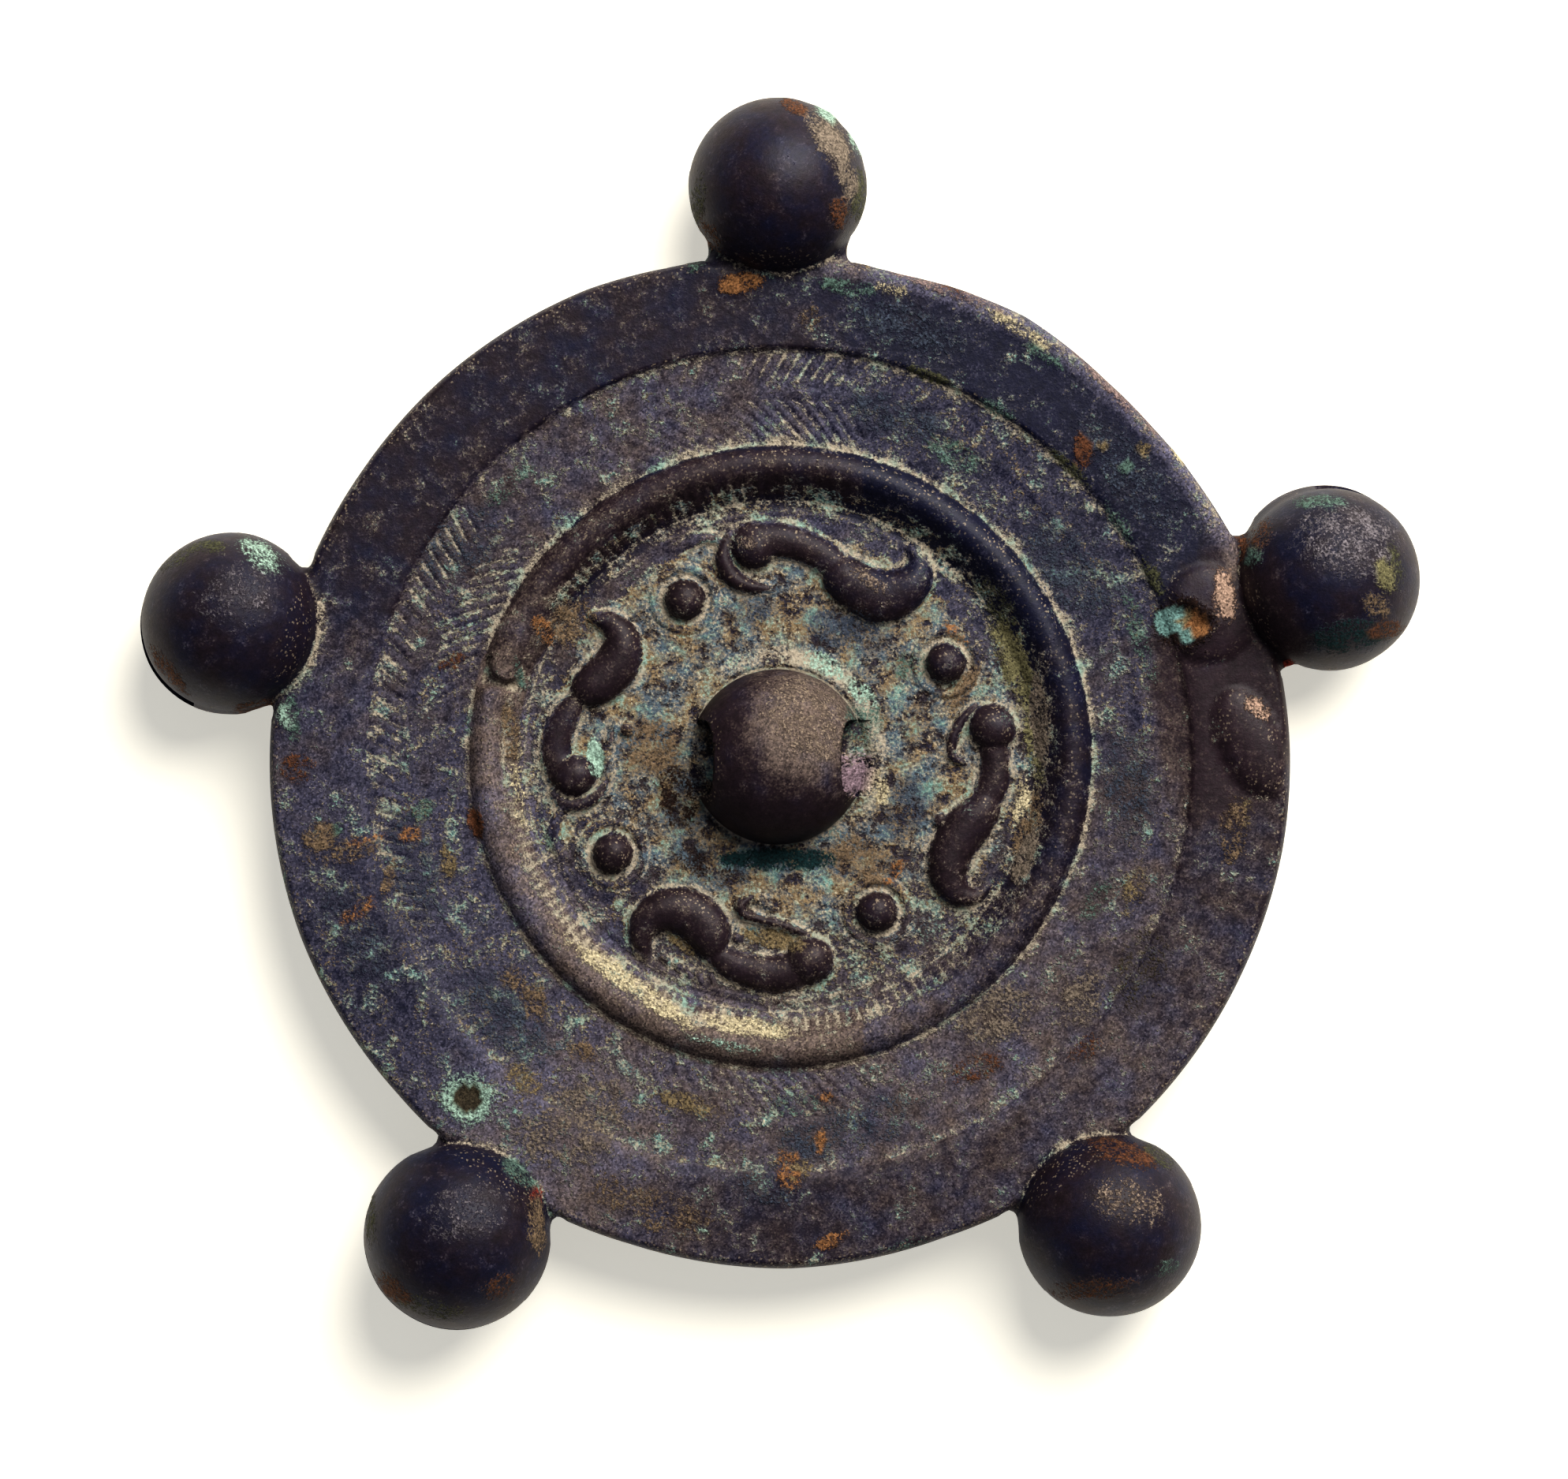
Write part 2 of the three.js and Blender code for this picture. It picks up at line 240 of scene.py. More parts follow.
@dataclass
class RingRidge:
    """The ridge round the inner field, with hachures on its inner slope and a break at the left."""

    slope_inner: float = 24.4
    slope_outer: float = 26.5
    hachures: int = 160
    hachure_depth: float = 0.08
    hachure_wear: Stations = (
        (-175, 0.4), (-160, 0.9), (-60, 1.0), (-45, 0.35), (0, 0.15), (60, 0.15), (88, 0.5), (95, 1.0), (140, 1.0),
        (150, 0.2), (168, 0.2), (176, 0.5),
    )
    break_at: float = 164.6
    break_depth: float = 1.2
    break_drop: float = 0.55  # how much lower the inner half of the ridge lies past the break
    half_width: float = 1.75
    middle: float = 27.1
    deposit_height: float = 0.35

    def relief(self, radius: np.ndarray, angle: np.ndarray) -> np.ndarray:
        """Give the height that hachures and the break add to the plain ridge.

        Args:
            radius: The places' distances from the middle of the plate.
            angle: Their angles in degrees.

        Returns:
            The added height, less than 0 in the break.
        """
        on_slope = ease(radius, self.slope_inner - 0.2, self.slope_inner + 0.5)
        on_slope = on_slope * (1 - ease(radius, self.slope_outer - 0.5, self.slope_outer + 0.2))
        lines = np.cos(np.radians(angle * self.hachures)) * round_the_plate(angle, self.hachure_wear)
        along = np.radians((angle - self.break_at + 180) % 360 - 180) * self.middle
        across = radius - self.middle
        round_end = ease(np.hypot(along + self.half_width, across), self.half_width - 0.3, self.half_width + 0.4)
        gap = np.where(along > -self.half_width, round_end, 0) * (1 - ease(along, 0.5, 1.3))
        flat = ease(along, 0.4, 1.6) * (1 - ease(along, 8.0, 13.0)) * np.exp(-(((across + 1.1) / 0.95) ** 2))
        on_ridge = ease(radius, 25.0, 26.4) * (1 - ease(radius, 28.9, 29.5))
        deposit = np.exp(-(((angle - 154.5) / 4.2) ** 2) - ((radius - 25.1) / 0.9) ** 2)
        broken = (self.break_depth * gap + self.break_drop * flat) * on_ridge
        return self.hachure_depth * on_slope * lines - broken + self.deposit_height * deposit


@dataclass
class Stroke:
    """A raised, rounded stroke of the relief, drawn along a line of points with X, Y and half-width."""

    line: tuple[tuple[float, float, float], ...]
    height: float = 1.6
    fullness: float = 2.0  # half-width at which the stroke reaches its full height

    def samples(self, step: float = 0.16) -> np.ndarray:
        """Give close points along the stroke's smooth line, each with its half-width.

        Args:
            step: The distance between points.

        Returns:
            Rows of X, Y and half-width.
        """
        points = np.array((self.line[0], *self.line, self.line[-1]))
        pieces = []
        for before, start, end, after in zip(points, points[1:], points[2:], points[3:]):
            count = max(int(np.hypot(*(end - start)[:2]) / step), 1)
            t = np.linspace(0, 1, count, endpoint=False)[:, None]
            pieces.append(0.5 * (
                2 * start + (end - before) * t + (2 * before - 5 * start + 4 * end - after) * t ** 2
                + (3 * start - before - 3 * end + after) * t ** 3
            ))
        return np.vstack(pieces + [points[-1:]])

    def relief(self, x: np.ndarray, y: np.ndarray) -> np.ndarray:
        """Give the stroke's height over the field at each place, 0 beside it.

        Args:
            x: The places' X.
            y: Their Y.

        Returns:
            The heights.
        """
        height = np.zeros_like(x)
        for at_x, at_y, half in self.samples():
            off = ((x - at_x) ** 2 + (y - at_y) ** 2) / half ** 2
            near = off < 1
            top = self.height * min(1.0, (half / self.fullness) ** 0.8)
            height[near] = np.maximum(height[near], top * (1 - off[near]) ** 0.55)
        return height


@dataclass
class Nipple:
    """A round boss in a groove, with a low ring round it."""

    x: float
    y: float
    radius: float = 1.95
    height: float = 2.0
    ring_radius: float = 2.95
    ring_half: float = 0.5
    ring_height: float = 0.42
    halo_height: float = 0.16
    halo_off: float = 0.95
    halo_half: float = 0.35

    def relief(self, x: np.ndarray, y: np.ndarray) -> np.ndarray:
        """Give the boss's and the ring's height over the field.

        Args:
            x: The places' X.
            y: Their Y.

        Returns:
            The heights.
        """
        off = np.hypot(x - self.x, y - self.y)
        boss = self.height * np.sqrt(np.clip(1 - (off / self.radius) ** 2, 0, 1))
        ring = self.ring_height * np.clip(1 - ((off - self.ring_radius) / self.ring_half) ** 2, 0, 1)
        halo = np.clip(1 - ((off - self.ring_radius - self.halo_off) / self.halo_half) ** 2, 0, 1)
        halo = self.halo_height * halo
        return np.maximum(np.maximum(boss, ring), halo)


@dataclass
class RimLump:
    """A smooth lump that the casting left on the rim."""

    angle: float
    inset: float
    along: float
    across: float
    height: float
    lean: float

    def relief(self, x: np.ndarray, y: np.ndarray) -> np.ndarray:
        """Give the lump's height over the rim.

        Args:
            x: The places' X.
            y: Their Y.

        Returns:
            The heights.
        """
        reach = PLATE_EDGE - self.inset
        turn = math.radians(self.angle)
        dx, dy = x - reach * math.cos(turn), y - reach * math.sin(turn)
        lean = math.radians(self.angle + self.lean)
        out = dx * math.cos(lean) + dy * math.sin(lean)
        side = -dx * math.sin(lean) + dy * math.cos(lean)
        off = (out / self.across) ** 2 + (side / self.along) ** 2
        return self.height * np.clip(1 - off, 0, 1) ** 0.45


BEAST_STROKES = (
    # Top beast: head and neck, body and tail, the hook under the head, and the crescent before it
    Stroke(((-2.6, 20.2, 2.0), (-2.3, 20.1, 2.0)), height=1.95),
    Stroke(((-2.6, 20.8, 1.9), (0, 20.9, 1.75), (2.5, 20.3, 1.6), (4.6, 19.1, 1.6), (6.0, 18.2, 1.2)), height=1.45),
    Stroke(((6.2, 17.4, 2.15), (7.4, 16.6, 2.4), (9.6, 15.6, 2.6), (12, 16.3, 2.15), (13.3, 18.1, 1.3),
            (12.6, 20.2, 0.5)), height=1.8),
    Stroke(((-4.5, 21.6, 0.4), (-5.1, 20.2, 0.7), (-5.1, 18.8, 0.9), (-4.2, 17.3, 0.95), (-2.6, 16.5, 0.7),
            (-0.6, 16.3, 0.35)), height=1.1, fullness=0.9),
    Stroke(((-9.6, 20.0, 0.3), (-8.0, 20.9, 0.55), (-6.4, 21.1, 0.5), (-5.6, 20.7, 0.3)), height=0.6, fullness=0.5),
    Stroke(((-10.6, 20.9, 0.25), (-8.4, 22.0, 0.35), (-6.0, 22.6, 0.35), (-4.0, 23.0, 0.3)), height=0.3, fullness=0.3),
    # Left beast
    Stroke(((-17.4, 13.6, 0.6), (-15.8, 13.0, 1.2), (-14.8, 11.4, 1.8), (-15.2, 9.4, 2.2), (-16.6, 7.8, 2.25),
            (-17.9, 6.9, 1.8)), height=1.75),
    Stroke(((-19.0, 6.0, 0.9), (-20.0, 4.4, 1.4), (-20.9, 2.4, 1.5), (-21.0, 0.4, 1.5), (-20.2, -1.2, 1.7)),
           height=1.35),
    Stroke(((-19.5, -1.4, 2.05), (-19.2, -1.3, 2.05)), height=1.9),
    Stroke(((-21.2, -2.8, 0.5), (-20.5, -3.8, 0.6), (-19.0, -4.1, 0.7), (-17.4, -3.4, 0.7), (-16.4, -2.0, 0.5),
            (-16.1, -0.6, 0.4), (-16.2, 1.0, 0.4), (-15.7, 2.5, 0.5), (-15.4, 3.8, 0.35)), height=0.85, fullness=0.8),
    Stroke(((-14.5, 3.0, 0.7), (-14.3, 3.0, 0.7)), height=0.75, fullness=0.7),
    Stroke(((-20.4, -4.2, 0.3), (-21.2, -6.4, 0.65), (-20.9, -8.0, 0.55), (-20.1, -9.3, 0.3)),
           height=0.7, fullness=0.7),
    # Bottom beast
    Stroke(((-12.5, -18.4, 0.5), (-13.0, -16.8, 1.1), (-12.5, -15.1, 1.6), (-10.8, -14.1, 2.0), (-8.6, -14.3, 2.3),
            (-6.9, -15.7, 2.3), (-6.4, -17.0, 1.7)), height=1.75),
    Stroke(((-6.0, -18.2, 1.1), (-4.4, -19.2, 1.5), (-2, -19.9, 1.75), (0, -20.1, 1.85), (2.0, -19.5, 1.9)),
           height=1.4),
    Stroke(((2.8, -18.9, 2.2), (3.1, -18.8, 2.2)), height=1.95),
    Stroke(((-2.2, -12.6, 0.3), (-3.5, -13.5, 0.55), (-3.3, -14.4, 0.55), (-1.5, -15.0, 0.5), (0.5, -15.5, 0.5),
            (2.8, -16.4, 0.35)), height=0.9, fullness=0.55),
    Stroke(((-2.0, -12.9, 0.6), (-0.6, -13.9, 0.5)), height=0.5, fullness=0.6),
    Stroke(((-3.9, -16.7, 0.6), (-3.8, -16.7, 0.6)), height=0.5, fullness=0.6),
    Stroke(((-10.9, -18.4, 0.3), (-10.3, -19.1, 0.3)), height=0.45, fullness=0.3),
    Stroke(((-9.8, -18.9, 0.3), (-9.2, -19.7, 0.3)), height=0.45, fullness=0.3),
    Stroke(((-8.7, -19.6, 0.3), (-8.3, -20.4, 0.3)), height=0.45, fullness=0.3),
    Stroke(((-7.6, -20.0, 0.3), (-7.3, -20.8, 0.3)), height=0.4, fullness=0.3),
    Stroke(((-6.3, -20.2, 0.25), (-6.1, -20.9, 0.25)), height=0.35, fullness=0.3),
    # Right beast
    Stroke(((20.1, 3.3, 2.2), (20.3, 3.1, 2.2)), height=1.9),
    Stroke(((20.4, 1.4, 1.5), (20.5, -0.6, 1.5), (20.2, -2.4, 1.6), (19.4, -3.8, 1.5)), height=1.35),
    Stroke(((19.2, -4.6, 1.8), (17.9, -6.1, 2.2), (16.5, -8.2, 2.15), (16.0, -10.4, 1.9), (16.8, -12.3, 1.4),
            (18.5, -12.8, 0.8), (19.8, -11.8, 0.4)), height=1.75),
    Stroke(((18.6, 5.2, 0.4), (17.3, 3.9, 0.55), (16.5, 2.2, 0.6), (16.4, 0.6, 0.5), (17.5, -0.2, 0.3)),
           height=0.9, fullness=0.6),
    Stroke(((15.2, -5.6, 0.75), (15.3, -5.4, 0.75)), height=0.7, fullness=0.7),
)
NIPPLES = (Nipple(-8.9, 15.3), Nipple(15.8, 9.3), Nipple(-15.7, -8.7), Nipple(9.3, -14.2))
RIM_LUMPS = (RimLump(19.0, 5.2, 4.6, 4.4, 1.0, 0.0), RimLump(2.3, 3.5, 5.5, 2.8, 1.1, 22.0))


@dataclass
class Plate:
    """The plate with its rim, comb bands, ring ridge, inner field and knob, spun and then raised."""

    radius: float = PLATE_EDGE
    edge_round: float = 0.9
    rim_thickness: float = 3.0
    face_crown: float = 1.2
    face_flat: float = 6.0
    knob_radius: float = 8.3
    knob_height: float = 7.7
    knob_columns: int = 132
    knob_rings: int = 24
    fold: float = 0.31  # spacing of the mesh in the inner field
    sectors: int = 12
    drift_x: tuple[tuple[float, ...], ...] = ((0.0, 8.3, 13.0, 30.6, 38.8), (-0.15, -0.12, 0.1, 0.15, 0.0))
    drift_y: tuple[tuple[float, ...], ...] = ((0.0, 8.3, 13.0, 30.6, 38.8), (0.42, 0.42, 0.45, 0.45, 0.0))
    outline: Stations = (
        (2, 0.32), (12, 0.2), (25, -0.15), (33, -0.42), (42, -0.62), (49, -0.55), (61, 0.05), (67, -0.2), (76, -0.55),
        (85, -0.3), (103, -0.2), (112, 0.12), (131, 0.14), (145, 0.0), (185, 0.1), (200, 0.1), (221, -0.22),
        (240, -0.1), (253, -0.3), (271, -0.08), (289, -0.38), (304, -0.15), (318, 0.0), (336, 0.14), (350, 0.34),
    )
    profile: Stations = (
        (8.0, 7.7), (22.2, 7.7), (22.5, 7.6), (22.8, 7.74), (23.1, 7.86), (23.35, 7.72), (23.6, 7.42), (23.8, 7.36),
        (24.0, 7.5), (24.3, 7.84), (24.7, 8.16), (25.2, 8.62), (25.8, 9.18), (26.3, 9.66), (26.7, 9.96), (27.1, 10.14),
        (27.5, 10.2), (27.9, 10.16), (28.3, 10.04), (28.7, 9.8), (29.0, 9.5), (29.25, 9.18), (29.45, 8.9),
        (29.62, 8.82), (30.0, 8.88), (31.0, 8.92), (34.0, 9.06), (34.3, 9.16), (34.7, 9.22), (35.1, 9.14),
        (35.6, 9.18), (38.6, 9.38),
    )
    pit_middle: tuple[float, float] = (38.2, 13.0)
    pit_half: tuple[float, float] = (2.8, 2.2)
    pit_depth: float = 0.9
    ridge: RingRidge = field(default_factory=RingRidge)
    outer_teeth: CombBand = field(default_factory=lambda: CombBand(35.5, 38.7, 180, -0.85, 0.12, (
        (-180, 0.6), (-160, 0.7), (-150, 0.25), (-135, 0.3), (-120, 0.25), (-105, 0.05), (60, 0.05), (70, 0.3),
        (80, 0.5), (84, 1.0), (91, 0.9), (98, 0.35), (140, 0.3), (143, 1.0), (153, 1.0), (157, 0.6), (175, 0.7),
    )))
    inner_teeth: CombBand = field(default_factory=lambda: CombBand(29.8, 34.0, 144, 1.55, 0.1, (
        (-180, 0.15), (-140, 0.2), (-122, 0.45), (-104, 0.55), (-82, 0.7), (-66, 0.15), (60, 0.1), (74, 0.2),
        (81, 0.9), (92, 0.8), (99, 0.3), (112, 0.4), (120, 0.15), (140, 0.15), (148, 0.8), (163, 0.8), (173, 0.25),
    )))

    def face_height(self, radius: float) -> float:
        """Give the height of the polished face, which is flat in the middle and then a shallow dome."""
        reach = max(radius - self.face_flat, 0.0) / (self.radius - self.face_flat)
        return FACE_BOTTOM + self.face_crown * reach ** 2

    def section(self, radius: np.ndarray) -> np.ndarray:
        """Give the plain height of the back from the knob's foot to the edge."""
        return np.interp(radius, *np.array(self.profile).T)

    def bands(self) -> list[Band]:
        """Lay out the bands from the knob's top over the edge to the middle of the polished face.

        Returns:
            The bands in the order in which they are joined.
        """
        turns = np.linspace(0, math.pi / 2, self.knob_rings + 1)
        knob = [(self.knob_radius * math.sin(a), FIELD_TOP + self.knob_height * math.cos(a)) for a in turns]

        def level(radii: np.ndarray) -> Stations:
            """Give the section's heights at some radii."""
            return tuple(zip(radii.tolist(), self.section(radii).tolist()))

        relief = np.concatenate([
            np.linspace(23.4, 24.4, 5), np.linspace(24.65, 27.0, 9), np.linspace(27.35, 28.6, 4),
            np.linspace(28.85, 29.7, 5), np.linspace(30.05, 34.0, 11), np.linspace(34.35, 35.4, 4),
            np.linspace(35.75, 38.6, 9), np.linspace(38.8, 39.4, 4),
        ])
        arc = np.radians(np.linspace(90, -80, 8))
        middle = RIM_TOP - self.rim_thickness / 2
        swell = self.rim_thickness / 2
        edge = [
            (self.radius - self.edge_round + self.edge_round * math.cos(a), middle + swell * math.sin(a)) for a in arc
        ]
        rim = tuple((r, RIM_TOP) for r in np.linspace(39.9, 46.6, 13).tolist()) + tuple(edge)
        face = np.linspace(46.0, 0.0, 18).tolist()
        return [
            Band(self.knob_columns, tuple(knob)),
            Band(2 * self.knob_columns, level(np.arange(8.6, 13.0, self.fold))),
            Band(4 * self.knob_columns, level(np.arange(13.2, 23.2, self.fold))),
            Band(720, level(relief)),
            Band(720, rim),
            Band(180, tuple((r, self.face_height(r)) for r in face)),
        ]

    def build(self) -> bpy.types.Object:
        """Spin the bands, bridge them into one closed body and raise the relief on it.

        Returns:
            The plate with its knob, still without bells.
        """
        bm = bmesh.new()
        bands = self.bands()
        for band in bands:
            band.spin(bm, self.sectors)
        bmesh.ops.spin(
            bm, geom=bm.verts[:] + bm.edges[:] + bm.faces[:], cent=(0, 0, 0), axis=(0, 0, 1), dvec=(0, 0, 0),
            angle=2 * math.pi * (1 - 1 / self.sectors), steps=self.sectors - 1, use_duplicate=True,
        )
        bmesh.ops.remove_doubles(bm, verts=bm.verts, dist=SAME_POINT)
        for inner, outer in zip(bands, bands[1:]):
            bmesh.ops.bridge_loops(bm, edges=inner.end(bm, -1) + outer.end(bm, 0))
        plate = mesh_object("bell_mirror_casting", bm)
        shaped = self.shape(coordinates(plate.data))
        plate.data.vertices.foreach_set("co", shaped.ravel())
        plate.data.update()
        return plate

    def shape(self, spun: np.ndarray) -> np.ndarray:
        """Move the spun vertices to the relief of the real plate.

        Args:
            spun: The vertices on the spun bands.

        Returns:
            Their final places.
        """
        radius = np.hypot(spun[:, 0], spun[:, 1])
        column = np.degrees(np.arctan2(spun[:, 1], spun[:, 0]))
        middle = RIM_TOP - self.rim_thickness / 2
        back = spun[:, 2] > np.where(radius > 39.6, middle, 6.9)
        knob = back & (radius < self.knob_radius + 0.01)
        at = np.where(back, radius, self.radius)
        angle = column + self.inner_teeth.turn(at) + self.outer_teeth.turn(at)

        # The step up to the rim, sharp at the top and worn to a slope elsewhere
        height = spun[:, 2].copy()
        sharp = round_the_plate(angle, ((-175, 0.35), (45, 0.6), (56, 1.0), (118, 1.0), (128, 0.6), (150, 0.45)))
        step = sharp * ease(radius, 38.65, 39.25) + (1 - sharp) * ease(radius, 38.1, 40.3)
        zone = back & (radius > 37.9) & (radius < 40.5)
        below = self.section(radius)
        height[zone] = (below + (RIM_TOP - below) * step)[zone]

        # Comb teeth, with a short crossing set at the upper left, and the ring ridge
        teeth = sum(
            band.depth * band.strength(radius, angle) * band.wave(column)
            for band in (self.outer_teeth, self.inner_teeth)
        )
        cross = np.exp(-(((angle - 146) / 4.5) ** 2)) * ease(radius, 30.0, 30.8) * (1 - ease(radius, 32.6, 33.4))
        teeth = teeth + 0.09 * cross * np.cos(np.radians((angle + 0.9 * (radius - 30)) * 170))
        height += np.where(back & ~knob, teeth + self.ridge.relief(radius, angle), 0)

        # The uneven outline, and the middle parts cast a little off the centre
        worn = round_the_plate(angle, self.outline) * ease(radius, 39.0, 47.0)
        reach = radius + worn
        x = reach * np.cos(np.radians(angle))
        y = reach * np.sin(np.radians(angle))
        x += np.where(back, np.interp(radius, *self.drift_x), 0)
        y += np.where(back, np.interp(radius, *self.drift_y), 0)

        # Beasts and nipples over rough, caked ground
        field_part = back & ~knob & (radius < 25.5)
        lift = np.zeros_like(height)
        for part in (*BEAST_STROKES, *NIPPLES):
            lift[field_part] = np.maximum(lift[field_part], part.relief(x[field_part], y[field_part]))
        places = np.column_stack((x, y, height))
        coarse, fine = np.zeros_like(height), np.zeros_like(height)
        top = np.flatnonzero(back)
        coarse[top] = grit(places[top], 2.6, 1)
        fine[top] = grit(places[top], 0.75, 2)
        crusty = np.where(radius < 23.6, 0.16, np.where(radius < 38.8, 0.05, 0.035)) * (1 - ease(lift, 0.1, 0.9))
        crusty = np.where(knob, 0.05, crusty)
        ground = height + crusty * (0.8 * coarse + 0.6 * fine)
        drift = self.drifts(x, y) * field_part
        height = np.where(field_part, np.maximum(ground + drift, FIELD_TOP + lift + 0.02 * coarse), ground)

        # Casting flaws of the rim
        rim = back & (radius > 39.9) & (spun[:, 2] > RIM_TOP - 0.3)
        for lump in RIM_LUMPS:
            height = np.where(rim, np.maximum(height, RIM_TOP + lump.relief(x, y)), height)
        height = np.where(rim, height - self.pit(x, y), height)
        return np.column_stack((x, y, height))

    def unwrap(self, places: np.ndarray) -> tuple[np.ndarray, np.ndarray]:
        """Give the radius and angle that places on the back have in the design.

        Args:
            places: The vertices as rows of X, Y and Z.

        Returns:
            The radii, and the angles in degrees.
        """
        x, y = places[:, 0], places[:, 1]
        radius = np.hypot(x, y)
        x, y = x - np.interp(radius, *self.drift_x), y - np.interp(radius, *self.drift_y)
        return np.hypot(x, y), np.degrees(np.arctan2(y, x))

    def packed_grooves(self, radius: np.ndarray, angle: np.ndarray) -> np.ndarray:
        """Give where pale earth is packed between the comb teeth and the hachures, from 0 to 1.

        Args:
            radius: The places' distances from the middle of the plate.
            angle: Their angles in degrees.

        Returns:
            How packed each place is.
        """
        turned = self.inner_teeth.turn(radius) + self.outer_teeth.turn(radius)
        packed = sum(
            band.strength(radius, angle) * np.clip(-band.wave(angle - turned), 0, 1)
            for band in (self.outer_teeth, self.inner_teeth)
        )
        ridge = self.ridge
        slope = ease(radius, ridge.slope_inner - 0.2, ridge.slope_inner + 0.3)
        slope = slope * (1 - ease(radius, ridge.slope_outer - 0.7, ridge.slope_outer))
        lines = np.clip(-np.cos(np.radians(angle * ridge.hachures)), 0, 1) * round_the_plate(angle, ridge.hachure_wear)
        return 0.55 * packed + 0.45 * slope * lines

    def drifts(self, x: np.ndarray, y: np.ndarray) -> np.ndarray:
        """Give the earth caked round the knob's upper foot and in its right mouth, and the hollow under it.

        Args:
            x: The places' X.
            y: Their Y.

        Returns:
            The added height, less than 0 in the hollow.
        """
        off = np.hypot(x + 0.1, y - 0.42)
        angle = np.degrees(np.arctan2(y - 0.42, x + 0.1))
        collar = 0.55 * np.exp(-(((off - 8.7) / 0.8) ** 2))
        collar = collar * round_the_plate(angle, ((-150, 0.0), (-40, 0.1), (0, 0.9), (60, 1.0), (115, 0.8), (160, 0.2)))
        plug = 1.5 * np.exp(-(((x - 7.6) / 1.3) ** 2) - ((y + 0.6) / 2.4) ** 2)
        hollow = -0.25 * np.exp(-(((off - 10.2) / 1.6) ** 2))
        hollow = hollow * round_the_plate(angle, ((-140, 1.0), (-40, 1.0), (10, 0.0), (150, 0.0)))
        return collar + plug + hollow

    def pit(self, x: np.ndarray, y: np.ndarray) -> np.ndarray:
        """Give the depth of the blister in the upper rim lump, which has broken open to a diamond.

        Args:
            x: The places' X.
            y: Their Y.

        Returns:
            The depth, less than 0 on the raised lip.
        """
        (at_x, at_y), (half_x, half_y) = self.pit_middle, self.pit_half
        across = np.abs(x - at_x) / half_x + np.abs(y - at_y) / half_y
        return self.pit_depth * (1 - ease(across, 0.7, 1.0)) - 0.15 * np.exp(-(((across - 1.2) / 0.15) ** 2))


@dataclass
class Knob:
    """The cord hole through the knob: an arch that runs along X."""

    width: float = 7.2
    height: float = 5.2
    wall: float = 2.6
    reach: float = 11.0  # how far the bar sticks out to either side

    def cord_hole(self) -> bpy.types.Object:
        """Make the bar that the cord hole is cut with.

        Returns:
            The bar, which is an arch drawn across the knob and run through it.
        """
        bm = bmesh.new()
        bmesh.ops.create_circle(bm, cap_ends=True, segments=32, radius=self.width / 2)
        for vert in bm.verts:
            across, up = vert.co.x, vert.co.y
            top = self.wall + max(up, 0) / (self.width / 2) * (self.height - self.wall)
            vert.co = Vector((-self.reach, across, top if up > -0.05 else 0.02))
        for vert in bm.verts:
            if vert.co.z < 0.1:
                vert.co.y = math.copysign(min(abs(vert.co.y) * 1.02, self.width / 2), vert.co.y)
        grown = bmesh.ops.extrude_face_region(bm, geom=bm.faces[:])
        moved = [v for v in grown["geom"] if isinstance(v, bmesh.types.BMVert)]
        bmesh.ops.translate(bm, verts=moved, vec=(2 * self.reach, 0, 0))
        bmesh.ops.translate(bm, verts=bm.verts, vec=(-0.1, 0.3, FIELD_TOP + 0.1))
        return mesh_object("cord_hole", bm)


